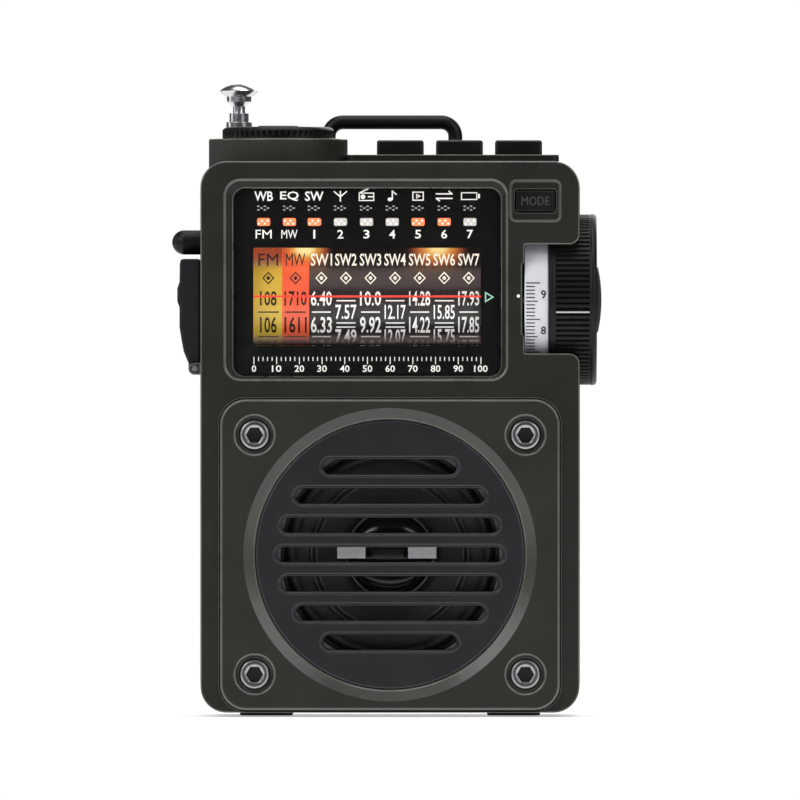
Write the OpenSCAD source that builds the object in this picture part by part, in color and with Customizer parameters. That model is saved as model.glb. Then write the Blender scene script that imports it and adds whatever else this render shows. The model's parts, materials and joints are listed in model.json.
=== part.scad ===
// Pocket multi-band radio: housing, tuning dial and drum, volume dial, keys, rod antenna, bail and speaker.
// X runs to the right, -Y to the front and Z up. The origin is under the middle of the housing, on the feet.

/* [Housing] */
// Width of the front shell
body_w = 58.8; // [57:0.2:72]
// Height of the housing without its feet
body_h = 85.5; // [84:0.5:104]
// Depth of the housing, front face to back face
body_d = 32.4; // [32:0.2:40]
// Corner radius seen from the front
corner_r = 4; // [3:0.1:5]
// Thickness of the front wall
front_wall = 2; // [1.8:0.1:2.4]
// Thickness of the side, top and bottom walls
wall = 1.6; // [1.2:0.1:1.9]
// How far the rear shell's rim stands out past the front shell
rear_lip = 0.25; // [0.1:0.05:0.4]
// Depth of the rear shell
rear_d = 5.8; // [5.6:0.1:6.4]
// Height of the feet
foot_h = 0.5; // [0.4:0.1:0.8]

/* [Speaker] */
// Width of the speaker panel
panel_w = 52.7; // [51:0.1:54]
// Height of the speaker panel
panel_h = 48.2; // [47.5:0.1:50]
// Thickness of the speaker panel
panel_t = 1.6; // [1.4:0.1:2]
// How far the speaker panel stands out of the front face
panel_proud = 0.8; // [0.6:0.1:1]
// Radius of the grille disc
grille_r = 20.9; // [19:0.1:21.5]
// Width of the sloping ring round the grille disc
grille_slope = 1.85; // [1.2:0.05:2]
// Height of one grille slot
slot_h = 2.3; // [1.6:0.1:2.8]
// Distance between grille slots
slot_pitch = 4.54; // [4:0.02:4.6]
// Distance between the panel screws, across
screw_w = 42; // [41:0.1:43]
// Distance between the panel screws, up
screw_h = 37.1; // [36.5:0.1:38]

/* [Window] */
// Width of the display window
window_w = 41.5; // [38:0.1:42]
// Height of the display window
window_h = 29.1; // [27:0.1:30]
// Thickness of the window lens
lens_t = 1.1; // [0.8:0.1:1.4]
// Width of the scale opening in the mask
scale_w = 35.3; // [33:0.1:36]
// Height of the scale opening in the mask
scale_h = 15.2; // [12:0.1:16]

/* [Tuning] */
// Radius of the tuning knob
knob_r = 13.3; // [11:0.1:13.6]
// Width of the tuning knob
knob_w = 7.5; // [6.2:0.1:9]
// Radius of the logging ring
ring_r = 12.8; // [10.8:0.1:13]
// Width of the logging ring
ring_w = 3.75; // [3.2:0.05:4.4]
// Radius of the band drum
drum_r = 9; // [7.5:0.1:9.4]
// Radius of the tuning shaft
shaft_r = 1.5; // [1.2:0.1:1.8]
// Number of ribs round the knob
rib_count = 96; // [60:4:120]

/* [Top] */
// Radius of the volume turret
turret_r = 10.8; // [10:0.1:12.9]
// Height of the volume turret above the housing
turret_h = 3.6; // [3:0.1:4.4]
// Radius of the volume knob
volume_r = 8.7; // [7.3:0.1:9.4]
// Width of a top key
key_w = 7.3; // [6:0.1:8.6]
// Depth of a top key, front to back
key_d = 6; // [5:0.1:7.2]
// Distance between top keys
key_pitch = 9.2; // [9:0.1:9.6]
// Travel of the keys
key_travel = 0.5; // [0.3:0.05:0.6]

/* [Antenna and bail] */
// Outer radius of the antenna's first section
stage_r = 2; // [1.9:0.05:2.2]
// Length of the antenna tube held in the housing
tube_l = 77; // [60:1:80]
// Radius of the bail wire
bail_r = 1.1; // [0.9:0.05:1.3]
// Width of the bail over its legs
bail_w = 22; // [18.4:0.1:24]
// Height of the bail above its pins
bail_h = 5.5; // [5.2:0.1:6.5]

/* [Power] */
// Width of the battery
battery_w = 32; // [27:0.2:32.4]
// Height of the battery
battery_h = 50; // [42:0.5:51]
// Thickness of the battery
battery_t = 5.4; // [4.5:0.1:5.6]

/* [Hidden] */
$fn = 64;

// Clearances
run_gap = 0.05;
slide_gap = 0.15;
near_gap = 0.3;
turn_gap = 0.4;
cut = 1;

// Housing planes
left_x = -body_w / 2;
right_x = body_w / 2;
base_z = foot_h;
top_z = foot_h + body_h;
mid_z = (base_z + top_z) / 2;
front_y = -body_d / 2;
back_y = body_d / 2;
split_y = back_y - rear_d;
front_inner = front_y + front_wall;
back_wall = 1.5;
back_inner = back_y - back_wall;

// Speaker
panel_z = base_z + 0.4 + panel_h / 2;
panel_front = front_y - panel_proud;
panel_back = panel_front + panel_t;
panel_corner = 4;
disc_front = panel_front + 1;
disc_flange = 0.8;
disc_back = panel_back + disc_flange;
slot_count = 7;
slot_reach = grille_r - 3.3;
slot_bevel = 0.6;
sound_r = grille_r - 1.6;
basket_r = grille_r - 0.9;
basket_d = 9;
cone_r = basket_r - 3;
flange_t = 1;
magnet_r = 9;
magnet_t = 4;
screw_spots = [for (x = [-1, 1], z = [-1, 1]) [x * screw_w / 2, panel_z + z * screw_h / 2]];
head_r = 2.25;
head_h = 1.3;
sink_r = 2.9;
panel_thread_r = 1.2;
panel_screw_l = 7;
socket_r = 1.4;
column_r = 2.4;

// Window
bezel_left = 1.3;
bezel_right = 0.9;
bezel_top = 1.3;
bezel_bottom = 0.6;
bezel_depth = 0.9;
window_left = left_x + 5.1;
window_top = top_z - 4.2;
window_x = window_left + window_w / 2;
window_z = window_top - window_h / 2;
window_corner = 1.8;
lens_front = front_y + bezel_depth;
lens_back = lens_front + lens_t;
mask_front = max(front_inner, lens_back);
mask_t = 0.4;
mask_back = mask_front + mask_t;
mask_margin = 0.9;
scale_x = window_left + 3.1 + scale_w / 2;
scale_z = window_top - 9.2 - scale_h / 2;
pointer_t = 0.2;
pointer_h = 0.3;
lamp_count = 9;
lamp_pitch = 4;
lamp_z = window_top - 5.2;

// Tuning dial
knob_proud = 0.7;
drum_clear = 1;
axis_y = max(front_y + knob_r - knob_proud, mask_back + drum_clear + drum_r);
axis_z = scale_z - 0.4;
knob_x = right_x - 4.8;
knob_end = knob_x + knob_w;
ring_x = knob_x - ring_w;
pocket_r = max(knob_r, ring_r) + turn_gap;
pocket_x = ring_x - 0.35;
pocket_wall = 1.2;
pocket_disc = 1.4;
notch_h = 16.9;
notch_x = ring_x;
notch_round = 1.6;
hub_r = ring_r - 1.4;
rib_depth = 0.3;
rim_step = 0.1;
rim_w = 0.9;
cap_r = 5.1;
cap_h = 0.8;
dome_r = 24;
drum_w = scale_w + 0.6;
drum_wall = 1.2;
drum_hub_r = 2.6;
cheek_t = 0.8;
cheek_gap = 0.4;
cheek_left = scale_x - drum_w / 2 - cheek_gap;
cheek_right = scale_x + drum_w / 2 + cheek_gap;
frame_h = 2 * drum_r + 1.6;
frame_back = axis_y + drum_r + 1.2;
bush_r = 2.6;
bush_flange = 0.5;
pot_r = 8;
pot_t = 3.3;

// Top
turret_x = left_x + 12;
turret_y = front_y + 14.2;
turret_top = top_z + turret_h;
turret_foot = top_z - 3.6;
stem_bush_r = 3.5;
stem_r = 1.5;
volume_rise = 1.9;
volume_pot_r = 7;
volume_pot_h = 5.6;
deck_t = 1.1;
deck_y = turret_y;
deck_d = key_d + 8;
key_x = right_x - 9.4;
deck_margin = 3.6;
deck_left = key_x - 2 * key_pitch - key_w / 2 - deck_margin - 0.8;
deck_right = key_x + key_w / 2 + deck_margin - 1;
key_rise = 2.3;
key_top = top_z + deck_t + key_rise;
flange_edge = 0.5;
flange_h = 0.6;
switch_w = 4.5;
switch_h = 1.4;
plunger_r = 1;
key_foot = top_z - wall - flange_h;
plunger_top = key_foot - key_travel - 0.1;
plunger_h = 0.35;
board_t = 1;
key_board_z = plunger_top - plunger_h - switch_h;
mode_w = 6;
mode_h = 3.2;
mode_x = right_x - 6.85;
mode_z = top_z - 6.15;
mode_proud = 0.1;
mode_recess = 0.5;
mode_frame_w = 7.6;
mode_frame_h = 6.2;
mode_flange_back = front_inner + flange_h;
mode_plunger = mode_flange_back + key_travel + 0.1;
front_board_y = mode_plunger + plunger_h + switch_h;
front_board_z = axis_z + drum_r + 1.3;
front_board_top = turret_foot - near_gap;

// Antenna
antenna_x = left_x + 5.8;
antenna_y = back_inner - 2.8;
tube_r = stage_r + 0.6;
tube_bore = stage_r + 0.3;
tube_top = top_z + 5.3;
tube_foot = tube_top - tube_l;
stage_wall = 0.25;
foot_step = 0.2;
throat_l = 3;
stage_2_r = stage_r - 0.5;
stage_3_r = stage_2_r - 0.4;
stage_foot = tube_foot + 1.6;
stage_1_top = tube_top + 1.1;
stage_2_top = stage_1_top + 1.4;
stage_3_top = stage_2_top + 1.5;
tip_r = 2.95;
tip_h = 3.2;

// Bail
bail_x = 0.3;
bail_y = back_inner - 1.1;
bail_z = top_z + 2;
leg_x = bail_w / 2 - bail_r;
bend_r = 2.2;
pin_r = 0.6;
lug_w = 1.6;
lug_r = 1.3;
lug_gap = 0.2;

// Power, at the back
battery_z = base_z + 7.5 + battery_h / 2;
battery_y = back_inner - 0.2 - battery_t;
tray_gap = 0.2;
tray_wall = 0.8;
door_edge = 1.1;
door_w = battery_w + 2 * (tray_gap + door_edge);
door_h = battery_h + 2 * (tray_gap + door_edge);
main_board_y = max(front_inner + basket_d + magnet_t + 0.3, -1);
main_board_t = 1.6;
housing_thread_r = 0.8;
housing_screw_l = 9;
housing_head_r = 1.6;
housing_head_h = 1;
gap_x = (antenna_x + tube_r - battery_w / 2 - tray_gap - tray_wall) / 2;
housing_spots = [
    [-screw_w / 2, panel_z - screw_h / 2],
    [screw_w / 2, panel_z - screw_h / 2],
    [screw_w / 2, panel_z + screw_h / 2],
    [gap_x, panel_z + screw_h / 2]
];
slim_column_r = 1.5;

// Left side
side_y = axis_y;
cover_top = axis_z + 6.6;
cover_foot = axis_z - 11.7;
cover_d = 14;
cover_foot_t = 1.85;
cover_gap = 0.05;
cover_x = left_x - cover_gap;
hinge_x = cover_x - cover_foot_t / 2;
hinge_z = cover_foot + cover_foot_t / 2;
cover_pin_r = 0.4;
knuckle_w = 1;
port_board_t = 0.8;
port_board_x = cheek_left - cheek_t - bush_flange - 0.2 - port_board_t;
usb_z = axis_z + 1.6;
usb_w = 8.9;
usb_h = 3.2;
usb_rim = 0.35;
card_z = axis_z - 6.4;
card_w = 11;
card_h = 1;
post_r = 1.9;
post_l = 2.6;
post_z = axis_z + 8.9;
post_root = 2;
jack_r = 3;
jack_bore = 1.8;
jack_l = 12;
jack_y = main_board_y + main_board_t + jack_r + 0.1;
jack_z = panel_z + panel_h / 2 - 0.1;
jack_nose_r = 2.4;

// Feet
foot_w = 8.2;
foot_d = 20;
foot_x = 19.2;

// Ferrite rod
rod_r = 3;
rod_l = 42;
rod_y = back_inner - rod_r - 2.3;
rod_z = turret_foot - near_gap - rod_r;
rod_x = 3.5;
coil_r = 3.5;
coil_l = 14;

shell_green = [0.21, 0.22, 0.17];
panel_green = [0.24, 0.25, 0.2];
dark = [0.13, 0.13, 0.15];
metal = [0.75, 0.76, 0.78];
board_green = [0.08, 0.3, 0.16];

// A rectangle with round corners, centred
module round_rect(w, h, r) {
    square([w - 2 * r, h], center = true);
    square([w, h - 2 * r], center = true);
    for (x = [-1, 1], y = [-1, 1])
        translate([x * (w / 2 - r), y * (h / 2 - r)])
            circle(r);
}

// An upright slab from depth y0 to depth y1
module slab(w, h, r, y0, y1) {
    translate([0, y1, 0])
        rotate([90, 0, 0])
            linear_extrude(y1 - y0)
                round_rect(w, h, r);
}

// An upright box between two corners
module block(low, high) {
    translate(low)
        cube(high - low);
}

// A cylinder along X
module x_rod(x0, x1, r, r_end = -1) {
    translate([x0, 0, 0])
        rotate([0, 90, 0])
            cylinder(h = x1 - x0, r1 = r, r2 = r_end < 0 ? r : r_end);
}

// A cylinder along Y, towards the back
module y_rod(y0, y1, r, r_end = -1) {
    translate([0, y0, 0])
        rotate([-90, 0, 0])
            cylinder(h = y1 - y0, r1 = r, r2 = r_end < 0 ? r : r_end);
}

// A turned profile whose second coordinate runs towards the front from depth y0
module turned_to_front(y0) {
    translate([0, y0, 0])
        rotate([90, 0, 0])
            rotate_extrude()
                children();
}

module at_axis() {
    translate([0, axis_y, axis_z])
        children();
}

module at_panel() {
    translate([0, 0, panel_z])
        children();
}

module at_window() {
    translate([window_x, 0, window_z])
        children();
}

module at_turret() {
    translate([turret_x, turret_y, 0])
        children();
}

// The outer form of the housing, grown by a lip, from depth y0 to y1
module housing_form(lip, y0, y1) {
    translate([0, 0, mid_z])
        slab(body_w + 2 * lip, body_h + 2 * lip, corner_r + lip, y0, y1);
}

module housing_hollow(y0, y1) {
    translate([0, 0, mid_z])
        slab(body_w - 2 * wall, body_h - 2 * wall, corner_r - wall, y0, y1);
}

// The sloping bezel round the window lens
module bezel_cut() {
    hull() {
        at_window()
            slab(window_w, window_h, window_corner, lens_front - 0.01, lens_front);
        translate([window_x + (bezel_right - bezel_left) / 2, 0, window_z + (bezel_top - bezel_bottom) / 2])
            slab(window_w + bezel_left + bezel_right, window_h + bezel_top + bezel_bottom,
                window_corner + 0.6, front_y - 0.02, front_y);
    }
}

// The opening in front of the knob, with the wall's two outer corners rounded
module knob_notch() {
    low = axis_z + 0.05 - notch_h / 2;
    high = low + notch_h;
    block([notch_x, front_y - cut, low], [right_x + cut, front_y + 5, high]);
    for (side = [-1, 1]) {
        edge = side < 0 ? low : high;
        difference() {
            block([right_x - notch_round, front_y - cut, edge - (side < 0 ? notch_round : cut / 2)],
                [right_x + cut, front_y + 5, edge + (side > 0 ? notch_round : cut / 2)]);
            translate([right_x - notch_round, 0, edge + side * notch_round])
                y_rod(front_y - 2 * cut, front_y + 6, notch_round);
        }
    }
}

module key_window(x) {
    block([x - key_w / 2 - slide_gap, deck_y - key_d / 2 - slide_gap, top_z - wall - cut],
        [x + key_w / 2 + slide_gap, deck_y + key_d / 2 + slide_gap, top_z + deck_t + cut]);
}

function key_spot(i) = key_x + (i - 2) * key_pitch;

module front_shell() {
    color(shell_green)
        difference() {
            union() {
                difference() {
                    housing_form(0, front_y, split_y);
                    housing_hollow(front_inner, split_y + cut);
                }
                at_axis()
                    x_rod(pocket_x - pocket_disc, right_x - wall / 2, pocket_r + pocket_wall);
                for (spot = screw_spots)
                    translate([spot[0], 0, spot[1]])
                        y_rod(front_inner - 0.1, spot[0] < 0 && spot[1] > panel_z ? 0 : split_y, column_r);
                translate([gap_x, 0, housing_spots[3][1]])
                    y_rod(front_inner - 0.1, split_y, slim_column_r);
                for (side = [-1, 1])
                    translate([0, side_y + side * (cover_d / 2 + knuckle_w / 2 + near_gap), 0])
                        cover_knuckle();
            }
            // Whatever of the pocket's wall stands out of the front or past the split
            block([pocket_x - 5, front_y - 9, axis_z - 20], [right_x + 9, front_y, axis_z + 20]);
            block([pocket_x - 5, split_y, axis_z - 20], [right_x + 9, split_y + 9, axis_z + 20]);
            at_axis()
                x_rod(pocket_x, right_x + cut, pocket_r);
            at_axis()
                x_rod(pocket_x - pocket_disc - cut, pocket_x + cut, shaft_r + turn_gap);
            knob_notch();
            bezel_cut();
            at_window()
                slab(window_w, window_h, window_corner, lens_front - 0.1, front_inner + cut);
            at_panel()
                slab(panel_w + slide_gap, panel_h + slide_gap, panel_corner, front_y - cut, panel_back);
            at_panel()
                y_rod(panel_back - cut, front_inner + cut, sound_r);
            at_panel()
                y_rod(panel_back - cut, disc_back, grille_r + disc_flange + run_gap);
            for (spot = screw_spots)
                translate([spot[0], 0, spot[1]])
                    y_rod(panel_back - cut, panel_front + head_h + panel_screw_l + 0.5, panel_thread_r);
            for (spot = housing_spots)
                translate([spot[0], 0, spot[1]])
                    y_rod(split_y - housing_screw_l, split_y + cut, housing_thread_r);
            at_turret()
                translate([0, 0, turret_foot])
                    cylinder(h = turret_h + 20, r = turret_r + run_gap);
            for (i = [0:2])
                key_window(key_spot(i));
            translate([mode_x, 0, mode_z])
                slab(mode_frame_w, mode_frame_h, 0.8, front_y - cut, front_y + mode_recess);
            translate([mode_x, 0, mode_z])
                slab(mode_w + 2 * slide_gap, mode_h + 2 * slide_gap, 0.4, front_y - cut, front_inner + cut);
            translate([antenna_x, antenna_y, top_z - wall - cut])
                cylinder(h = wall + 2 * cut, r = tube_r);
            port_windows();
            translate([0, side_y, post_z])
                x_rod(left_x - cut, left_x + wall + cut, post_r - 0.5);
            translate([0, jack_y, jack_z])
                x_rod(left_x - cut, left_x + wall + cut, jack_nose_r);
        }
}

// One of the two knuckles that hold the port cover's pin
module cover_knuckle() {
    difference() {
        union() {
            translate([hinge_x, 0, hinge_z])
                rotate([90, 0, 0])
                    cylinder(h = knuckle_w, r = cover_foot_t / 2, center = true);
            block([hinge_x, -knuckle_w / 2, cover_foot], [left_x + 0.5, knuckle_w / 2, hinge_z + 0.925]);
        }
        translate([hinge_x, 0, hinge_z])
            rotate([90, 0, 0])
                cylinder(h = knuckle_w + cut, r = cover_pin_r, center = true);
    }
}

module port_windows() {
    translate([0, side_y, usb_z])
        rotate([0, 0, 90])
            slab(usb_w + 2 * usb_rim + 0.1, usb_h + 2 * usb_rim + 0.1, (usb_h + 2 * usb_rim) / 2 - 0.1,
                -left_x - wall - cut, -left_x + cut);
    block([left_x - cut, side_y - card_w / 2 - 0.2, card_z - card_h / 2 - 0.2],
        [left_x + wall + cut, side_y + card_w / 2 + 0.2, card_z + card_h / 2 + 0.2]);
}

module rear_shell() {
    color(shell_green)
        difference() {
            union() {
                difference() {
                    housing_form(rear_lip, split_y, back_y);
                    housing_hollow(split_y - cut, back_inner);
                }
                block([-battery_w / 2 - tray_gap - tray_wall, battery_y - tray_gap - 1,
                        battery_z - battery_h / 2 - tray_gap - tray_wall],
                    [battery_w / 2 + tray_gap + tray_wall, back_y,
                        battery_z + battery_h / 2 + tray_gap + tray_wall]);
                for (x = [-12, 18])
                    block([rod_x + x - 1, rod_y, rod_z - 2], [rod_x + x + 1, back_inner + 0.1, rod_z + 2]);
                for (side = [-1, 1])
                    translate([bail_x + side * (leg_x + bail_r + lug_gap + lug_w / 2), 0, 0])
                        bail_lug();
                for (spot = housing_spots)
                    translate([spot[0], 0, spot[1]])
                        y_rod(split_y, back_y - 0.1, housing_head_r + near_gap);
            }
            block([-battery_w / 2 - tray_gap, battery_y, battery_z - battery_h / 2 - tray_gap],
                [battery_w / 2 + tray_gap, back_y + cut, battery_z + battery_h / 2 + tray_gap]);
            translate([0, 0, battery_z])
                slab(door_w, door_h, 1.2, back_inner, back_y + cut);
            translate([rod_x - rod_l / 2 - 1, rod_y, rod_z])
                x_rod(0, rod_l + 2, rod_r);
            translate([antenna_x, antenna_y, top_z - wall - cut])
                cylinder(h = wall + 2 * cut, r = tube_r);
            for (spot = housing_spots)
                translate([spot[0], 0, spot[1]]) {
                    y_rod(split_y - cut, back_y + cut, housing_thread_r + 0.1);
                    y_rod(back_y - housing_head_h - 0.2, back_y + cut, housing_head_r + 0.1);
                }
            translate([bail_x, bail_y, bail_z])
                x_rod(-bail_w, bail_w, pin_r);
        }
}

// A lug standing on the top rear edge, which holds one bail pin
module bail_lug() {
    translate([-lug_w / 2, bail_y, bail_z])
        x_rod(0, lug_w, lug_r);
    block([-lug_w / 2, bail_y - lug_r, top_z - 0.5], [lug_w / 2, bail_y + lug_r, bail_z]);
}

module battery_door() {
    color(shell_green)
        difference() {
            union() {
                translate([0, 0, battery_z])
                    slab(door_w - 2 * slide_gap, door_h - 2 * slide_gap, 1.05, back_inner + 0.02, back_y);
                // Guide rails that enter the battery tray
                for (side = [-1, 1])
                    block([side * (battery_w / 2 - 0.6) - 0.5, back_inner - 0.15, battery_z - 10],
                        [side * (battery_w / 2 - 0.6) + 0.5, back_inner + 0.5, battery_z + 10]);
            }
            // Thumb ridges at the catch
            for (i = [0:4])
                translate([0, back_y + 0.25, battery_z + door_h / 2 - 5 - 1.6 * i])
                    x_rod(-5, 5, 0.6);
        }
}

module speaker_panel() {
    color(panel_green)
        difference() {
            at_panel()
                slab(panel_w, panel_h, panel_corner, panel_front, panel_back);
            at_panel()
                y_rod(panel_front - 0.01, disc_front, grille_r + grille_slope, grille_r);
            at_panel()
                y_rod(disc_front - 0.01, panel_back + cut, grille_r);
            for (spot = screw_spots)
                translate([spot[0], 0, spot[1]]) {
                    y_rod(panel_front - cut, panel_front + head_h - 0.1, sink_r);
                    y_rod(panel_front, panel_back + cut, panel_thread_r + 0.1);
                }
        }
}

// One grille slot: a straight stadium with a wider mouth
module grille_slot(z, half) {
    translate([0, 0, z]) {
        slab(2 * half, slot_h, slot_h / 2 - 0.01, disc_front - cut, disc_back + cut);
        slab(2 * half + slot_bevel, slot_h + slot_bevel, (slot_h + slot_bevel) / 2 - 0.01,
            disc_front - cut, disc_front + 0.3);
    }
}

module grille_disc() {
    middle = (slot_count - 1) / 2;
    color(dark)
        at_panel()
            difference() {
                union() {
                    y_rod(disc_front, panel_back + 0.01, grille_r - run_gap);
                    y_rod(panel_back, disc_back, grille_r + disc_flange);
                }
                for (i = [0:slot_count - 1]) {
                    z = (i - middle) * slot_pitch;
                    grille_slot(z, sqrt(slot_reach * slot_reach - pow(abs(z) + 0.6, 2)));
                }
            }
}

module speaker_basket() {
    color([0.35, 0.35, 0.37])
        at_panel()
            difference() {
                turned_to_front(front_inner + basket_d)
                    polygon([
                        [3, 0], [magnet_r, 0], [cone_r + 1, basket_d - 4], [cone_r + 1, basket_d - flange_t],
                        [basket_r, basket_d - flange_t], [basket_r, basket_d], [cone_r, basket_d],
                        [cone_r, basket_d - 4], [magnet_r - 1, 1], [3, 1]
                    ]);
                // Vents in the basket's wall
                for (a = [45:90:315])
                    rotate([0, a, 0])
                        translate([0, front_inner + basket_d - 3.6, 0])
                            x_rod(magnet_r - 2, basket_r, 1.5);
            }
}

module speaker_cone() {
    color([0.18, 0.18, 0.19])
        at_panel()
            turned_to_front(front_inner + basket_d)
                polygon([
                    [0, 4.8], [2.6, 4.4], [5, 3.2], [5.2, 2.2], [5.8, 2.2], [cone_r - 2.6, basket_d - 3.2],
                    [cone_r - 2, basket_d - 1.9], [cone_r - 1.2, basket_d - 1.5], [cone_r - 0.5, basket_d - 2.2],
                    [cone_r, basket_d - 2.2], [cone_r, basket_d - 2.6], [cone_r - 0.8, basket_d - 2.6],
                    [cone_r - 1.3, basket_d - 2], [cone_r - 1.8, basket_d - 2.3], [cone_r - 2.2, basket_d - 3.6],
                    [6.2, 1.6], [4.6, 1.6], [4.6, 2.8], [2.4, 3.9], [0, 4.3]
                ]);
}

module speaker_magnet() {
    color(metal)
        at_panel()
            difference() {
                union() {
                    y_rod(front_inner + basket_d, front_inner + basket_d + magnet_t, magnet_r - 0.5);
                    y_rod(front_inner + basket_d - 1.2, front_inner + basket_d + 0.1, 2.9);
                }
                y_rod(front_inner + basket_d + magnet_t - 1, front_inner + basket_d + magnet_t + cut, 1.2);
            }
}

module window_lens() {
    color([0.6, 0.7, 0.75, 0.35])
        at_window()
            slab(window_w - 2 * run_gap, window_h - 2 * run_gap, window_corner - run_gap, lens_front, lens_back);
}

module scale_mask() {
    color([0.06, 0.06, 0.07])
        difference() {
            at_window()
                slab(window_w + 2 * mask_margin, window_h + 2 * mask_margin, window_corner, mask_front, mask_back);
            translate([scale_x, 0, scale_z])
                slab(scale_w, scale_h, 0.3, mask_front - cut, mask_back + cut);
            for (i = [0:lamp_count - 1])
                translate([scale_x + (i - (lamp_count - 1) / 2) * lamp_pitch, 0, lamp_z])
                    slab(1.8, 1, 0.2, mask_front - cut, mask_back + cut);
        }
}

module pointer_line() {
    color([0.85, 0.1, 0.08])
        block([scale_x - scale_w / 2 - 0.7, mask_back, axis_z + 0.3],
            [scale_x + scale_w / 2 + 0.7, mask_back + pointer_t, axis_z + 0.3 + pointer_h]);
}

module band_drum() {
    color([0.9, 0.75, 0.35])
        at_axis()
            translate([scale_x - drum_w / 2, 0, 0])
                difference() {
                    x_rod(0, drum_w, drum_r);
                    difference() {
                        x_rod(-cut, drum_w + cut, drum_r - drum_wall);
                        x_rod(-2 * cut, drum_w + 2 * cut, drum_hub_r);
                        for (x = [1, drum_w - 2])
                            x_rod(x, x + 1, drum_r);
                    }
                    x_rod(-cut, drum_w + cut, shaft_r);
                    for (a = [45:90:315])
                        rotate([a, 0, 0])
                            translate([0, 0, (drum_r - drum_wall + drum_hub_r) / 2])
                                x_rod(-cut, drum_w + cut, 1.4);
                }
}

module tuning_shaft() {
    color(metal)
        at_axis()
            x_rod(cheek_left - cheek_t - 0.4, knob_end - 1, shaft_r);
}

module logging_ring() {
    color("white")
        at_axis()
            difference() {
                x_rod(ring_x, knob_x, ring_r);
                x_rod(ring_x - cut, knob_x + cut, hub_r);
            }
}

// The ribbed outline: one shallow tooth for each rib, just inside the knob's smooth rim
function rib_outline() = [
    for (i = [0:rib_count - 1], corner = [0:3])
        let (a = 360 / rib_count * (i + [0, 0.15, 0.5, 0.65][corner]),
            r = knob_r - rim_step - [rib_depth, 0, 0, rib_depth][corner])
            [r * cos(a), r * sin(a)]
];

module tuning_knob() {
    color(dark)
        at_axis()
            difference() {
                union() {
                    translate([knob_x, 0, 0])
                        rotate([0, 90, 0])
                            linear_extrude(knob_w - rim_w)
                                polygon(rib_outline());
                    x_rod(knob_end - rim_w - 0.01, knob_end - 0.4, knob_r);
                    x_rod(knob_end - 0.41, knob_end, knob_r, knob_r - 0.4);
                    x_rod(ring_x, knob_x + 0.1, hub_r);
                }
                x_rod(ring_x - cut, knob_end - 1, shaft_r);
                // Hollow behind the ring, which keeps the knob's wall even
                difference() {
                    x_rod(ring_x - cut, knob_end - 2.2, hub_r - 1.6);
                    x_rod(ring_x - 2 * cut, knob_end, shaft_r + 1.5);
                }
            }
}

// The knob's end cap: a low step with a shallow dome on it
module knob_cap() {
    steps = 8;
    dome = [for (i = [0:steps]) let (r = cap_r * (1 - i / steps))
        [r, cap_h - dome_r + sqrt(pow(dome_r, 2) - pow(r, 2))]];
    color(dark)
        at_axis()
            translate([knob_end, 0, 0])
                rotate([0, 90, 0])
                    rotate_extrude()
                        polygon(concat([[0, 0], [cap_r, 0]], dome));
}

module tuning_pot() {
    color([0.3, 0.32, 0.36])
        at_axis()
            difference() {
                union() {
                    x_rod(cheek_right + cheek_t, cheek_right + cheek_t + pot_t, pot_r);
                    block([cheek_right + cheek_t, 3, -pot_r - 1.2], [cheek_right + cheek_t + 1, 6, -pot_r + 3]);
                }
                x_rod(cheek_right, cheek_right + cheek_t + pot_t + cut, shaft_r + run_gap);
            }
}

module tuning_frame() {
    low = axis_z - frame_h / 2;
    high = axis_z + frame_h / 2;
    color(metal)
        difference() {
            union() {
                block([cheek_left - cheek_t, mask_back, low], [cheek_left, frame_back, high]);
                block([cheek_right, mask_back, low], [cheek_right + cheek_t, frame_back, high]);
                block([cheek_left - cheek_t, frame_back - 0.6, low], [cheek_right + cheek_t, frame_back, high]);
            }
            at_axis()
                x_rod(cheek_left - 3, cheek_left + cheek_gap, bush_r - 0.6);
            at_axis()
                x_rod(cheek_right - cheek_gap, cheek_right + 3, shaft_r + run_gap);
        }
}

module shaft_bush() {
    color([0.8, 0.65, 0.3])
        at_axis()
            difference() {
                union() {
                    x_rod(cheek_left - cheek_t - bush_flange, cheek_left - cheek_t, bush_r);
                    x_rod(cheek_left - cheek_t - 0.01, cheek_left, bush_r - 0.6);
                }
                x_rod(cheek_left - 3, cheek_left + cut, shaft_r + run_gap);
            }
}

module key_deck() {
    color(shell_green)
        difference() {
            translate([(deck_left + deck_right) / 2, deck_y, top_z])
                linear_extrude(deck_t)
                    round_rect(deck_right - deck_left, deck_d, 1.2);
            for (i = [0:2])
                key_window(key_spot(i));
            at_turret()
                translate([0, 0, top_z - cut])
                    cylinder(h = 5, r = turret_r + run_gap);
        }
}

module turret_collar() {
    color(shell_green)
        at_turret()
            difference() {
                translate([0, 0, turret_foot])
                    cylinder(h = turret_top - turret_foot, r = turret_r);
                translate([0, 0, turret_foot - cut])
                    cylinder(h = turret_top - turret_foot + 2 * cut, r = stem_bush_r);
                translate([0, 0, turret_top - 0.5])
                    cylinder(h = cut, r = volume_r + near_gap);
            }
}

module volume_knob() {
    foot = turret_top - 0.35;
    color(dark)
        at_turret()
            difference() {
                union() {
                    translate([0, 0, foot])
                        cylinder(h = volume_rise - 0.25, r = volume_r);
                    translate([0, 0, foot + volume_rise - 0.26])
                        cylinder(h = 0.6, r1 = volume_r, r2 = volume_r - 0.6);
                    translate([0, 0, foot + volume_rise + 0.3])
                        cylinder(h = 0.2, r = 3.2);
                }
                translate([0, 0, foot - cut])
                    cylinder(h = 2.2, r = stem_r);
            }
}

module volume_shaft() {
    color(metal)
        at_turret()
            translate([0, 0, turret_foot - 2])
                cylinder(h = turret_top + 0.85 - turret_foot + 2, r = stem_r);
}

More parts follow.
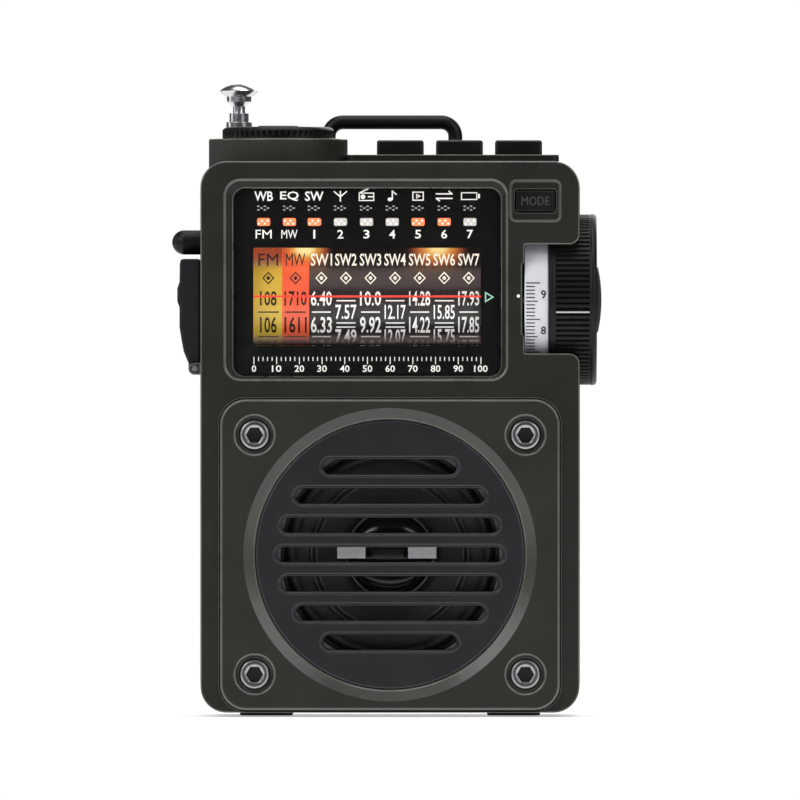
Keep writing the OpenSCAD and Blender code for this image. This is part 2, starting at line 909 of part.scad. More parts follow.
module volume_pot() {
    color([0.3, 0.32, 0.36])
        at_turret()
            difference() {
                union() {
                    translate([0, 0, turret_foot - volume_pot_h])
                        cylinder(h = volume_pot_h, r = volume_pot_r);
                    translate([0, 0, turret_foot - 0.01])
                        cylinder(h = turret_top - 1.2 - turret_foot, r = stem_bush_r);
                }
                translate([0, 0, turret_foot - 2.2])
                    cylinder(h = 12, r = stem_r + run_gap);
            }
}

module top_key(i) {
    x = key_spot(i);
    color(dark)
        union() {
            block([x - key_w / 2, deck_y - key_d / 2, key_foot], [x + key_w / 2, deck_y + key_d / 2, key_top - 0.4]);
            block([x - key_w / 2 + 0.3, deck_y - key_d / 2 + 0.3, key_top - 0.4],
                [x + key_w / 2 - 0.3, deck_y + key_d / 2 - 0.3, key_top]);
            block([x - key_w / 2 - flange_edge, deck_y - key_d / 2 - flange_edge, key_foot],
                [x + key_w / 2 + flange_edge, deck_y + key_d / 2 + flange_edge, key_foot + flange_h]);
        }
}

module mode_key() {
    color(dark)
        translate([mode_x, 0, mode_z]) {
            slab(mode_w, mode_h, 0.3, front_y - mode_proud, mode_flange_back);
            slab(mode_w + 2 * flange_edge, mode_h + 2 * flange_edge, 0.3, mode_flange_back - flange_h,
                mode_flange_back);
        }
}

module key_board() {
    color(board_green)
        block([key_spot(0) - key_w / 2 - 1.4, deck_y - key_d / 2 - 1.6, key_board_z - board_t],
            [key_spot(2) + key_w / 2 + 1.4, deck_y + key_d / 2 + 1.6, key_board_z]);
}

module key_switches() {
    color([0.2, 0.2, 0.22])
        for (i = [0:2])
            translate([key_spot(i), deck_y, key_board_z]) {
                block([-switch_w / 2, -switch_w / 2, 0], [switch_w / 2, switch_w / 2, switch_h]);
                cylinder(h = switch_h + plunger_h, r = plunger_r);
            }
}

module front_board() {
    color(board_green)
        difference() {
            block([window_left + 0.5, front_board_y, front_board_z],
                [mode_x + 4, front_board_y + board_t, front_board_top]);
            block([pocket_x - pocket_disc - 0.8, front_board_y - cut, front_board_z - cut],
                [mode_x + 5, front_board_y + board_t + cut, mode_z - 1.7]);
        }
}

module light_guides() {
    color([0.9, 0.5, 0.3])
        for (i = [0:lamp_count - 1])
            translate([scale_x + (i - (lamp_count - 1) / 2) * lamp_pitch, 0, lamp_z])
                slab(2.4, 1.6, 0.3, mask_back, front_board_y);
}

module mode_switch() {
    color([0.2, 0.2, 0.22])
        translate([mode_x, 0, mode_z]) {
            slab(3, 3, 0.3, front_board_y - switch_h, front_board_y);
            y_rod(mode_plunger, front_board_y - switch_h + 0.01, 0.8);
        }
}

module scale_lamps() {
    color([1, 0.7, 0.3])
        for (x = [scale_x - 10.4, scale_x + 10.1])
            translate([x, front_board_y + board_t / 2, front_board_z - 1.1])
                cylinder(h = 1.1, r = 0.9);
}

module main_board() {
    color(board_green)
        difference() {
            block([-body_w / 2 + wall + 1.2, main_board_y, base_z + wall + 0.8],
                [body_w / 2 - wall - 1.2, main_board_y + main_board_t, panel_z + panel_h / 2 - 0.2]);
            for (spot = screw_spots)
                translate([spot[0], 0, spot[1]])
                    y_rod(main_board_y - cut, main_board_y + main_board_t + cut, column_r + slide_gap);
            translate([gap_x, 0, housing_spots[3][1]])
                y_rod(main_board_y - cut, main_board_y + main_board_t + cut, slim_column_r + slide_gap);
        }
}

module board_parts() {
    back = main_board_y + main_board_t;
    color([0.12, 0.12, 0.13]) {
        block([-6, back, panel_z - 5], [6, back + 1.2, panel_z + 5]);
        block([9, back, panel_z - 2], [14, back + 1, panel_z + 3]);
        block([-15, back, panel_z + 4], [-10, back + 1, panel_z + 8]);
        for (x = [-12, 10])
            translate([x, 0, panel_z - 9])
                y_rod(back, back + 2.4, 1.6);
    }
}

module battery() {
    color([0.55, 0.57, 0.6])
        translate([0, 0, battery_z])
            slab(battery_w, battery_h, 1.2, battery_y, battery_y + battery_t);
}

module port_cover() {
    top = cover_top - near_gap;
    color(dark)
        translate([0, side_y + cover_d / 2, 0])
            rotate([90, 0, 0])
                difference() {
                    linear_extrude(cover_d) {
                        polygon([
                            [cover_x, hinge_z], [cover_x, top], [cover_x - 2.9, top], [cover_x - 3.2, top - 0.4],
                            [cover_x - 3.25, top - 3.6], [cover_x - 3.6, top - 4.6], [cover_x - 3.6, top - 6.8],
                            [cover_x - 3.25, top - 7.3], [cover_x - 3.25, top - 10.6], [cover_x - 2.9, top - 12.8],
                            [cover_x - 2.6, top - 14.4], [cover_x - cover_foot_t, top - 16.2],
                            [cover_x - cover_foot_t, hinge_z]
                        ]);
                        translate([hinge_x, hinge_z])
                            circle(cover_foot_t / 2);
                    }
                    translate([hinge_x, hinge_z, -cut])
                        cylinder(h = cover_d + 2 * cut, r = cover_pin_r + run_gap);
                }
}

module cover_pin() {
    reach = cover_d / 2 + near_gap + knuckle_w;
    color(metal)
        translate([hinge_x, side_y, hinge_z])
            rotate([90, 0, 0])
                cylinder(h = 2 * reach, r = cover_pin_r, center = true);
}

module usb_socket() {
    color(metal)
        translate([0, side_y, usb_z])
            rotate([0, 0, 90]) {
                difference() {
                    slab(usb_w + 2 * usb_rim, usb_h + 2 * usb_rim, (usb_h + 2 * usb_rim) / 2 - 0.01,
                        -port_board_x, -left_x - 0.3);
                    slab(usb_w, usb_h, usb_h / 2 - 0.01, -port_board_x + 0.6, -left_x + cut);
                }
                slab(6.6, 0.7, 0.2, -port_board_x + 0.5, -left_x - 1);
            }
}

module card_slot() {
    color(metal)
        difference() {
            block([left_x + wall + 0.1, side_y - card_w / 2 - 0.6, card_z - card_h / 2 - 0.5],
                [port_board_x, side_y + card_w / 2 + 0.6, card_z + card_h / 2 + 0.5]);
            block([left_x, side_y - card_w / 2, card_z - card_h / 2],
                [port_board_x - 0.4, side_y + card_w / 2, card_z + card_h / 2]);
        }
}

module port_board() {
    color(board_green)
        block([port_board_x, side_y - cover_d / 2, card_z - 2.5],
            [port_board_x + port_board_t, side_y + cover_d / 2, usb_z + 3.4]);
}

module headphone_jack() {
    color([0.1, 0.1, 0.11])
        translate([0, jack_y, jack_z])
            difference() {
                union() {
                    x_rod(left_x + wall, left_x + jack_l, jack_r);
                    x_rod(left_x, left_x + wall + 0.01, jack_nose_r);
                }
                x_rod(left_x - cut, left_x + jack_l + cut, jack_bore);
            }
}

module strap_post() {
    color(dark)
        translate([0, side_y, post_z]) {
            x_rod(left_x - post_l, left_x, post_r);
            translate([left_x - post_l, 0, 0])
                sphere(post_r);
            x_rod(left_x - 0.01, left_x + post_root, post_r - 0.5);
        }
}

module at_antenna() {
    translate([antenna_x, antenna_y, 0])
        children();
}

module antenna_tube() {
    color(dark)
        at_antenna()
            difference() {
                translate([0, 0, tube_foot])
                    cylinder(h = tube_l, r = tube_r);
                translate([0, 0, tube_foot + 1])
                    cylinder(h = tube_l - 1 - throat_l, r = tube_bore);
                translate([0, 0, tube_top - throat_l - 0.01])
                    cylinder(h = throat_l + cut, r = stage_r + run_gap);
            }
}

// One hollow section with a wider foot and a narrow throat for the section inside
module antenna_section(r, foot_z, end_z, bore, throat) {
    difference() {
        union() {
            translate([0, 0, foot_z])
                cylinder(h = end_z - foot_z, r = r);
            translate([0, 0, foot_z])
                cylinder(h = 2, r = r + foot_step);
        }
        translate([0, 0, foot_z - cut])
            cylinder(h = end_z - foot_z - throat_l + cut, r = bore);
        translate([0, 0, end_z - throat_l - 0.01])
            cylinder(h = throat_l + cut, r = throat);
    }
}

module antenna_stage_1() {
    color(metal)
        at_antenna()
            antenna_section(stage_r, stage_foot, stage_1_top, stage_r - stage_wall, stage_2_r + run_gap);
}

module antenna_stage_2() {
    color(metal)
        at_antenna()
            antenna_section(stage_2_r, stage_foot, stage_2_top, stage_2_r - 0.2, stage_3_r + run_gap);
}

// The innermost rod with its mushroom tip
module antenna_stage_3() {
    color(metal)
        at_antenna() {
            translate([0, 0, stage_foot])
                cylinder(h = stage_3_top - stage_foot, r = stage_3_r);
            translate([0, 0, stage_foot])
                cylinder(h = 2, r = stage_3_r + 0.12);
            translate([0, 0, stage_3_top - 0.01])
                rotate_extrude()
                    polygon([
                        [0, 0], [1.4, 0], [1.5, 0.5], [tip_r, 1.7], [tip_r, 2.1], [2.5, 2.6],
                        [1.3, tip_h - 0.2], [0, tip_h]
                    ]);
        }
}

module carry_bail() {
    color(dark)
        translate([bail_x, bail_y, bail_z])
            difference() {
                union() {
                    for (side = [-1, 1]) {
                        translate([side * leg_x, 0, 0])
                            cylinder(h = bail_h - bend_r - bail_r, r = bail_r);
                        translate([side * leg_x - bail_r, 0, 0])
                            x_rod(0, 2 * bail_r, bail_r + 0.25);
                        translate([side * (leg_x - bend_r), 0, bail_h - bend_r - bail_r])
                            rotate([90, 0, 0])
                                bail_bend(side);
                    }
                    translate([0, 0, bail_h - bail_r])
                        x_rod(-leg_x + bend_r, leg_x - bend_r, bail_r);
                }
                x_rod(-bail_w, bail_w, pin_r + run_gap);
            }
}

// A quarter bend in the bail wire
module bail_bend(side) {
    intersection() {
        rotate_extrude()
            translate([bend_r, 0])
                circle(bail_r);
        translate([side < 0 ? -10 : 0, 0, -5])
            cube([10, 10, 10]);
    }
}

module bail_pins() {
    color(metal)
        translate([bail_x, bail_y, bail_z])
            for (side = [-1, 1])
                x_rod(side * leg_x - bail_r - (side < 0 ? lug_gap + lug_w : 0),
                    side * leg_x + bail_r + (side > 0 ? lug_gap + lug_w : 0), pin_r);
}

module ferrite_rod() {
    color([0.15, 0.15, 0.16])
        translate([rod_x, rod_y, rod_z])
            x_rod(-rod_l / 2, rod_l / 2, rod_r);
}

module ferrite_coil() {
    color([0.75, 0.4, 0.2])
        translate([rod_x, rod_y, rod_z])
            difference() {
                x_rod(-coil_l / 2, coil_l / 2, coil_r);
                x_rod(-coil_l, coil_l, rod_r);
            }
}

module panel_screws() {
    color([0.25, 0.25, 0.27])
        for (spot = screw_spots)
            translate([spot[0], 0, spot[1]])
                difference() {
                    union() {
                        y_rod(panel_front - 0.1, panel_front + head_h - 0.1, head_r);
                        y_rod(panel_front + head_h - 0.11, panel_front + head_h + panel_screw_l, panel_thread_r);
                    }
                    y_rod(panel_front - 1, panel_front + 0.8, socket_r, $fn = 6);
                }
}

module housing_screws() {
    color(metal)
        for (spot = housing_spots)
            translate([spot[0], 0, spot[1]])
                difference() {
                    union() {
                        y_rod(back_y - housing_head_h - 0.2, back_y - 0.2, housing_head_r);
                        y_rod(split_y - housing_screw_l + 1.5, back_y - housing_head_h - 0.19, housing_thread_r);
                    }
                    for (a = [0, 90])
                        rotate([0, a, 0])
                            block([-1, back_y - 0.7, -0.2], [1, back_y + 1, 0.2]);
                }
}

module feet() {
    color([0.12, 0.12, 0.11])
        for (side = [-1, 1])
            translate([side * foot_x, deck_y, 0])
                linear_extrude(foot_h)
                    round_rect(foot_w, foot_d, 1.6);
}

front_shell();
rear_shell();
speaker_panel();
grille_disc();
speaker_basket();
speaker_cone();
speaker_magnet();
window_lens();
scale_mask();
pointer_line();
band_drum();
tuning_shaft();
logging_ring();
tuning_knob();
knob_cap();
tuning_pot();
tuning_frame();
shaft_bush();
key_deck();
turret_collar();
volume_knob();
volume_shaft();
volume_pot();
top_key(0);  // top_key_left
top_key(1);  // top_key_middle
top_key(2);  // top_key_right
mode_key();
key_board();
key_switches();
front_board();
light_guides();
mode_switch();
scale_lamps();
main_board();
board_parts();
battery();
battery_door();
port_cover();
cover_pin();
usb_socket();
card_slot();
port_board();
headphone_jack();
strap_post();
antenna_tube();
antenna_stage_1();
antenna_stage_2();
antenna_stage_3();
carry_bail();
bail_pins();
ferrite_rod();
ferrite_coil();
panel_screws();
housing_screws();
feet();
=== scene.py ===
import json
import math

import bmesh
import bpy
from bpy.props import FloatProperty, FloatVectorProperty
from mathutils import Matrix, Vector


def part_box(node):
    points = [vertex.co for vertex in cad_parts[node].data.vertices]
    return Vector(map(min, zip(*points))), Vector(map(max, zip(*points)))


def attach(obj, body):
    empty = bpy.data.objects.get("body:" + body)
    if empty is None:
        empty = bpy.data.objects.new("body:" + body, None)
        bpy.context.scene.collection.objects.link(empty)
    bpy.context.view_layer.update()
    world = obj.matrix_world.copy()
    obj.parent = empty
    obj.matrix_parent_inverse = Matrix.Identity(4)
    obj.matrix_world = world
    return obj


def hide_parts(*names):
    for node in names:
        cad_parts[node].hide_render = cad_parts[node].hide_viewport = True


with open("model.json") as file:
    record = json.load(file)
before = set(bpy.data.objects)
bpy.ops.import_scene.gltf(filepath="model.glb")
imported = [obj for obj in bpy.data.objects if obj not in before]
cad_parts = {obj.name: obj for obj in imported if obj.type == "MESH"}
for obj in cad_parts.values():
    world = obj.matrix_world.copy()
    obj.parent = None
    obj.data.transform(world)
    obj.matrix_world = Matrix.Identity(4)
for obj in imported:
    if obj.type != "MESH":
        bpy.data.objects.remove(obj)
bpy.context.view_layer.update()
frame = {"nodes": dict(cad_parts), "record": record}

bl_info = {
    "name": "Pocket Radio Finish",
    "version": (1, 0, 0),
    "blender": (4, 5, 0),
    "location": "View3D > Sidebar > Radio",
    "description": "Finishes, printing and fine pieces for a pocket multi-band radio",
    "category": "Object",
}

MM = 0.001
MICRON = 0.001 * MM
NODES = frame["nodes"]
BODY_OF = {name: body for body, names in frame["record"]["behaviour"]["bodies"].items() for name in names}
BOX = {name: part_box(name) for name in NODES}


def middle_of(node):
    """The middle of a CAD node's box, along x, y and z."""
    return tuple((low + high) / 2 for low, high in zip(*BOX[node]))


def size_of(node):
    """The size of a CAD node's box, along x, y and z."""
    return tuple(high - low for low, high in zip(*BOX[node]))


# The axis that the drum, ring and knob share, and their radii
DIAL_Y, DIAL_Z = middle_of("logging_ring")[1:]
DRUM_R, RING_R, KNOB_R = (size_of(node)[2] / 2 for node in ("band_drum", "logging_ring", "tuning_knob"))
KNOB_RIBS, VOLUME_RIBS = 96, 56
# One rib and the groove beside it, as shares of the groove's depth
RIB = (0.0, 0.0, 0.0, 0.0, 0.0, 0.75, 1.0, 0.75)
KNOB_LINE_Z = 62.6 * MM

# The scale's nine columns, left to right, and where the window's rows of marks stand
COLUMN_EDGES = [x * MM for x in (-21.0, -16.75, -12.55, -8.75, -4.93, -1.12, 2.69, 6.5, 10.32, 14.1)]
ICON_X = [x * MM for x in (-19.6, -15.6, -11.75, -7.7, -3.65, 0.35, 4.35, 8.4, 12.4)]
ICON_Z, DASH_Z, LAMP_Z, BAND_Z = 80.6 * MM, 78.75 * MM, 76.6 * MM, 74.7 * MM
RED_LAMPS = (0, 1, 2, 6, 7)
LOG_LEFT, LOG_WIDE, LOG_FOOT, LOG_NUMBER_Z = -21.1 * MM, 35.2 * MM, 55.6 * MM, 53.85 * MM
ARROW_X, ARROW_Z = 15.2 * MM, 64.95 * MM
DOT_X, DOT_Z = 19.9 * MM, 65.1 * MM

# The drum's columns: first number, step and decimal places. Some stand half a row lower, between double rules
DRUM_COLUMNS = ((108, -2, 0), (1710, -99, 0), (6.40, -0.07, 2), (7.57, -0.08, 2), (10.00, -0.08, 2),
                (12.17, -0.10, 2), (14.28, -0.06, 2), (15.85, -0.10, 2), (17.93, -0.08, 2))
OFFSET_COLUMNS = (3, 5, 7)
ROW_TURN, RULE_GAP = math.radians(27.0), 0.084

# The film over the drum, its printing, and its lamps, whose light the film shows as a painted glow: centre,
# reach across and strength
FILM_FOOT, FILM_TALL = 57.42 * MM, 15.16 * MM
LABEL_Z, DIAMOND_Z = 70.75 * MM, 67.9 * MM
FILM_LAMPS = ((-13.2 * MM, 4.6 * MM, 1.0), (7.4 * MM, 5.2 * MM, 0.9))
LAMP_CORE = 0.2 * MM
# Heights at which the film's painted glow and painted shade start and end
GLOW_RISE, CORNER_GLOW_RISE = (69.0 * MM, 72.4 * MM), (69.0 * MM, 71.4 * MM)
GLOW_BAND_RISE, GLOW_BAND_FALL, GLOW_BAND_SHARE = (65.6 * MM, 67.2 * MM), (70.2 * MM, 68.6 * MM), 0.2
FOOT_SHADE_FALL = (59.5 * MM, 57.0 * MM)

# The panel's socket screws
HEAD_R, SOCKET_R, HEAD_DEEP = 2.25 * MM, 1.3 * MM, 1.25 * MM
# How far out the slope round the grille reaches, and the edge angle that keeps the bezel's shallow corners
SLOPE_R, BEZEL_ANGLE = 23.5 * MM, 22.0
# The key deck's rounded left end, and how far it laps into the collar
DECK_CORNER, DECK_LAP = 1.3 * MM, 0.2 * MM

# How far apart two points may lie and still be merged, and what counts as touching or flat
MERGE_PIECE, MERGE_CAD, MERGE_SPUN, MERGE_TEXT, MERGE_CUT = 0.5e-6, 2e-6, 1e-6, 1e-5, 1e-7
TOUCH, FLAT_ANGLE = 0.02 * MM, math.radians(0.8)
# Printing: how much letters are thickened, and how often it is cut to bend round the ring and knob
LETTER_SWELL, CUT_STEP = 0.014, 0.7 * MM

# How moulded and painted finishes vary: mottled tones, lighter edges that are partly wear and partly a
# painted highlight, settled dust and gloss
MOTTLE_LIGHT, MOTTLE_LIFT, MOTTLE_DARK = 1.35, 0.0012, 0.74
EDGE_WEAR_HIGHLIGHT_RADIUS, EDGE_WEAR_HIGHLIGHT_GAIN, EDGE_WEAR_HIGHLIGHT_LIFT = 0.3 * MM, 1.9, 0.03
DUST_COLOUR, ROUGH_SPREAD = (0.16, 0.155, 0.14), 0.22
# How metals and inks vary, and the scale and depth of metal that isn't drawn one way
METAL_STAIN, STREAK_SPREAD, SMUDGE_SPREAD, FILM_DARK = 0.75, 0.16, 0.12, 0.78
EVEN_GRAIN = (5000.0, 5000.0, 6 * MICRON)

# The floor, what the lights aim at, and where the camera looks
FLOOR_R, FLOOR_DROP, AIM_Z = 0.42, 0.2 * MM, 0.045
VIEW_X, VIEW_Z = 1.55 * MM, 48.98 * MM


class FinishSettings(bpy.types.PropertyGroup):
    """Colours of the radio's finishes"""

    housing: FloatVectorProperty(name="Housing", description="Paint on the two shells", subtype="COLOR",
                                 default=(0.0120, 0.0128, 0.0083))
    panel: FloatVectorProperty(name="Panel", description="Paint on the speaker panel", subtype="COLOR",
                               default=(0.0170, 0.0180, 0.0122))
    black: FloatVectorProperty(name="Black plastic", description="Keys, knobs and bail", subtype="COLOR",
                               default=(0.0045, 0.0043, 0.0048))
    grille: FloatVectorProperty(name="Grille", description="The slotted disc", subtype="COLOR",
                                default=(0.0110, 0.0106, 0.0134))
    dial: FloatVectorProperty(name="Dial white", description="The logging ring", subtype="COLOR",
                              default=(0.66, 0.67, 0.71))
    ink: FloatVectorProperty(name="Light ink", description="Printing in the window", subtype="COLOR",
                             default=(0.86, 0.85, 0.80))
    fm: FloatVectorProperty(name="First column", description="Yellow film", subtype="COLOR",
                            default=(0.62, 0.42, 0.055))
    mw: FloatVectorProperty(name="Second column", description="Orange film", subtype="COLOR",
                            default=(0.78, 0.115, 0.05))


class SizeSettings(bpy.types.PropertyGroup):
    """Sizes that the fine pieces and edges take"""

    edge: FloatProperty(name="Edge radius", description="Rounding on the housing's edges", unit="LENGTH",
                        default=0.22 * MM)
    key_edge: FloatProperty(name="Key edge radius", description="Rounding on the keys' edges", unit="LENGTH",
                            default=0.4 * MM)
    ink_depth: FloatProperty(name="Ink thickness", description="How far printing stands out", unit="LENGTH",
                             default=0.035 * MM)
    rib_depth: FloatProperty(name="Rib depth", description="Depth of the tuning knob's ribs", unit="LENGTH",
                             default=0.42 * MM)
    grain: FloatProperty(name="Grain size", description="Size of the moulded grain", unit="LENGTH",
                         default=0.28 * MM)


class StageSettings(bpy.types.PropertyGroup):
    """Lights and camera"""

    key_power: FloatProperty(name="Key light", description="Power of the key light", unit="POWER",
                             default=1.14)
    fill_power: FloatProperty(name="Fill light", description="Power of the fill light", unit="POWER",
                              default=0.87)
    lens: FloatProperty(name="Lens", description="Focal length in millimetres", default=1000.0)
    view_width: FloatProperty(name="View width", description="Width that the camera takes in", unit="LENGTH",
                              default=124.0 * MM)


# ---------------------------------------------------------------- node groups

def add_node(tree, kind, at=(0, 0), **values):
    """A shader node with its settings and unlinked inputs filled in."""
    made = tree.nodes.new(kind)
    made.location = at
    for name, value in values.items():
        if name in made.bl_rna.properties:
            setattr(made, name, value)
        else:
            made.inputs[name.replace("_", " ")].default_value = value
    return made


def maths(tree, operation, first, second=None, clamp=False):
    """A Math node fed by sockets or numbers; gives its output socket."""
    made = tree.nodes.new("ShaderNodeMath")
    made.operation, made.use_clamp = operation, clamp
    for place, value in enumerate((first, second)):
        if value is None:
            continue
        if isinstance(value, bpy.types.NodeSocket):
            tree.links.new(value, made.inputs[place])
        else:
            made.inputs[place].default_value = value
    return made.outputs[0]


def new_group(name, inputs, outputs):
    """A shader node group with named sockets; gives the group, its input node and its output node."""
    group = bpy.data.node_groups.new(name, "ShaderNodeTree")
    for label, default in inputs:
        socket = group.interface.new_socket(name=label, in_out="INPUT", socket_type="NodeSocketFloat")
        socket.default_value = default
    for label, kind in outputs:
        group.interface.new_socket(name=label, in_out="OUTPUT", socket_type=kind)
    return group, group.nodes.new("NodeGroupInput"), group.nodes.new("NodeGroupOutput")


def moulded_grain_group():
    """Fine spark-eroded grain with a slow swell under it: a height and a mottling mask."""
    group, start, end = new_group(
        "MouldedGrain", [("Size", 0.3 * MM), ("Swell", 6 * MM)],
        [("Height", "NodeSocketFloat"), ("Mottle", "NodeSocketFloat")])
    links = group.links
    where = add_node(group, "ShaderNodeTexCoord")
    fine = add_node(group, "ShaderNodeTexNoise", Detail=3.0, Roughness=0.6)
    cells = add_node(group, "ShaderNodeTexVoronoi", feature="SMOOTH_F1")
    slow = add_node(group, "ShaderNodeTexNoise", Detail=4.0, Roughness=0.55)
    for texture in (fine, cells, slow):
        links.new(where.outputs["Object"], texture.inputs["Vector"])
    per_metre = maths(group, "DIVIDE", 1.0, start.outputs["Size"])
    links.new(per_metre, fine.inputs["Scale"])
    links.new(maths(group, "MULTIPLY", per_metre, 0.8), cells.inputs["Scale"])
    links.new(maths(group, "DIVIDE", 1.0, start.outputs["Swell"]), slow.inputs["Scale"])
    mixed = maths(group, "ADD", maths(group, "MULTIPLY", fine.outputs["Fac"], 0.6),
                  maths(group, "MULTIPLY", cells.outputs["Distance"], 0.5))
    links.new(mixed, end.inputs["Height"])
    links.new(maths(group, "MULTIPLY", slow.outputs["Fac"], 1.0, True), end.inputs["Mottle"])
    return group


def edge_wear_highlight_group():
    """A mask that is high along edges, broken up by noise: for edges lightened partly as wear and partly as a
    painted highlight.
    """
    group, start, end = new_group(
        "EdgeWearAndHighlight", [("Radius", 0.4 * MM), ("Breakup", 1.2 * MM), ("Amount", 0.5)],
        [("Mask", "NodeSocketFloat")])
    links = group.links
    rounded = add_node(group, "ShaderNodeBevel", samples=4)
    links.new(start.outputs["Radius"], rounded.inputs["Radius"])
    surface = add_node(group, "ShaderNodeNewGeometry")
    dot = add_node(group, "ShaderNodeVectorMath", operation="DOT_PRODUCT")
    links.new(rounded.outputs["Normal"], dot.inputs[0])
    links.new(surface.outputs["Normal"], dot.inputs[1])
    bent = maths(group, "MULTIPLY", maths(group, "SUBTRACT", 1.0, dot.outputs["Value"]), 5.0, True)
    where = add_node(group, "ShaderNodeTexCoord")
    noise = add_node(group, "ShaderNodeTexNoise", Detail=5.0, Roughness=0.65)
    links.new(where.outputs["Object"], noise.inputs["Vector"])
    links.new(maths(group, "DIVIDE", 1.0, start.outputs["Breakup"]), noise.inputs["Scale"])
    broken = maths(group, "MULTIPLY", maths(group, "SUBTRACT", noise.outputs["Fac"], 0.42), 5.0, True)
    worn = maths(group, "MULTIPLY", bent, broken)
    links.new(maths(group, "MULTIPLY", worn, start.outputs["Amount"], True), end.inputs["Mask"])
    return group


def dust_group():
    """Fine dust that settles on faces that look up, as a mask."""
    group, start, end = new_group("SettledDust", [("Amount", 0.3)], [("Mask", "NodeSocketFloat")])
    links = group.links
    surface = add_node(group, "ShaderNodeNewGeometry")
    apart = add_node(group, "ShaderNodeSeparateXYZ")
    links.new(surface.outputs["Normal"], apart.inputs[0])
    where = add_node(group, "ShaderNodeTexCoord")
    specks = add_node(group, "ShaderNodeTexNoise", Scale=2600.0, Detail=2.0, Roughness=0.7)
    links.new(where.outputs["Object"], specks.inputs["Vector"])
    grains = maths(group, "MULTIPLY", maths(group, "SUBTRACT", specks.outputs["Fac"], 0.55), 6.0, True)
    up = maths(group, "ADD", maths(group, "MULTIPLY", apart.outputs["Z"], 0.8, True), 0.08)
    settled = maths(group, "MULTIPLY", grains, up)
    links.new(maths(group, "MULTIPLY", settled, start.outputs["Amount"], True), end.inputs["Mask"])
    return group


def brushed_group():
    """Turned or drawn metal: fine lines round or along an axis, as a height and a streak mask."""
    group, start, end = new_group(
        "DrawnMetal", [("Across", 9000.0), ("Along", 300.0)],
        [("Height", "NodeSocketFloat"), ("Streak", "NodeSocketFloat")])
    links = group.links
    where = add_node(group, "ShaderNodeTexCoord")
    scale = add_node(group, "ShaderNodeCombineXYZ")
    links.new(start.outputs["Across"], scale.inputs[0])
    links.new(start.outputs["Across"], scale.inputs[1])
    links.new(start.outputs["Along"], scale.inputs[2])
    stretched = add_node(group, "ShaderNodeVectorMath", operation="MULTIPLY")
    links.new(where.outputs["Object"], stretched.inputs[0])
    links.new(scale.outputs[0], stretched.inputs[1])
    noise = add_node(group, "ShaderNodeTexNoise", Scale=1.0, Detail=3.0, Roughness=0.6)
    links.new(stretched.outputs[0], noise.inputs["Vector"])
    links.new(noise.outputs["Fac"], end.inputs["Height"])
    links.new(noise.outputs["Fac"], end.inputs["Streak"])
    return group


GROUPS = {}


def group_node(tree, make, **values):
    """Places a shared node group, which is built the first time it is asked for."""
    if make.__name__ not in GROUPS:
        GROUPS[make.__name__] = make()
    placed = tree.nodes.new("ShaderNodeGroup")
    placed.node_tree = GROUPS[make.__name__]
    for label, value in values.items():
        placed.inputs[label].default_value = value
    return placed


# ---------------------------------------------------------------- materials

def blank_material(name):
    """A material with its Principled shader; gives the material, its tree and the shader."""
    material = bpy.data.materials.new(name)
    material.use_nodes = True
    tree = material.node_tree
    return material, tree, tree.nodes["Principled BSDF"]


def blend_colour(tree, mask, low, high):
    """A Mix node between two colours, which may be sockets; gives its colour output."""
    mix = tree.nodes.new("ShaderNodeMix")
    mix.data_type = "RGBA"
    tree.links.new(mask, mix.inputs["Factor"])
    for socket, value in ((mix.inputs[6], low), (mix.inputs[7], high)):
        if isinstance(value, bpy.types.NodeSocket):
            tree.links.new(value, socket)
        else:
            socket.default_value = (*value, 1.0)
    return mix.outputs[2]


def toned(colour, factor, lift=0.0):
    """A colour made lighter or darker."""
    return tuple(min(1.0, c * factor + lift) for c in colour)


def preset(shader, **values):
    """Sets a shader's own unlinked inputs, each named with underscores for its spaces."""
    for name, value in values.items():
        shader.inputs[name.replace("_", " ")].default_value = value


def bump(tree, shader, height, distance, strength=1.0):
    """Raises the surface by a height mask."""
    raised = add_node(tree, "ShaderNodeBump", Strength=strength, Distance=distance)
    tree.links.new(height, raised.inputs["Height"])
    tree.links.new(raised.outputs["Normal"], shader.inputs["Normal"])


def grained(name, colour, rough, size, depth, wear_and_highlight, dust, swell=6 * MM, coat=0.0, specular=0.5):
    """Moulded plastic or paint with grain, mottling, dust, and lighter edges that are partly wear and partly
    a painted highlight.
    """
    material, tree, shader = blank_material(name)
    grain = group_node(tree, moulded_grain_group, Size=size, Swell=swell)
    mottle = grain.outputs["Mottle"]
    base = blend_colour(tree, mottle, toned(colour, MOTTLE_DARK), toned(colour, MOTTLE_LIGHT, MOTTLE_LIFT))
    if wear_and_highlight:
        worn_highlit_edge = group_node(tree, edge_wear_highlight_group, Radius=EDGE_WEAR_HIGHLIGHT_RADIUS, Amount=wear_and_highlight)
        base = blend_colour(tree, worn_highlit_edge.outputs["Mask"], base, toned(colour, EDGE_WEAR_HIGHLIGHT_GAIN, EDGE_WEAR_HIGHLIGHT_LIFT))
    if dust:
        settled = group_node(tree, dust_group, Amount=dust)
        base = blend_colour(tree, settled.outputs["Mask"], base, DUST_COLOUR)
    tree.links.new(base, shader.inputs["Base Color"])
    spread = maths(tree, "MULTIPLY", mottle, ROUGH_SPREAD)
    tree.links.new(maths(tree, "ADD", spread, rough - ROUGH_SPREAD / 2, True), shader.inputs["Roughness"])
    preset(shader, Specular_IOR_Level=specular, Coat_Weight=coat, Coat_Roughness=0.2)
    bump(tree, shader, grain.outputs["Height"], depth)
    return material


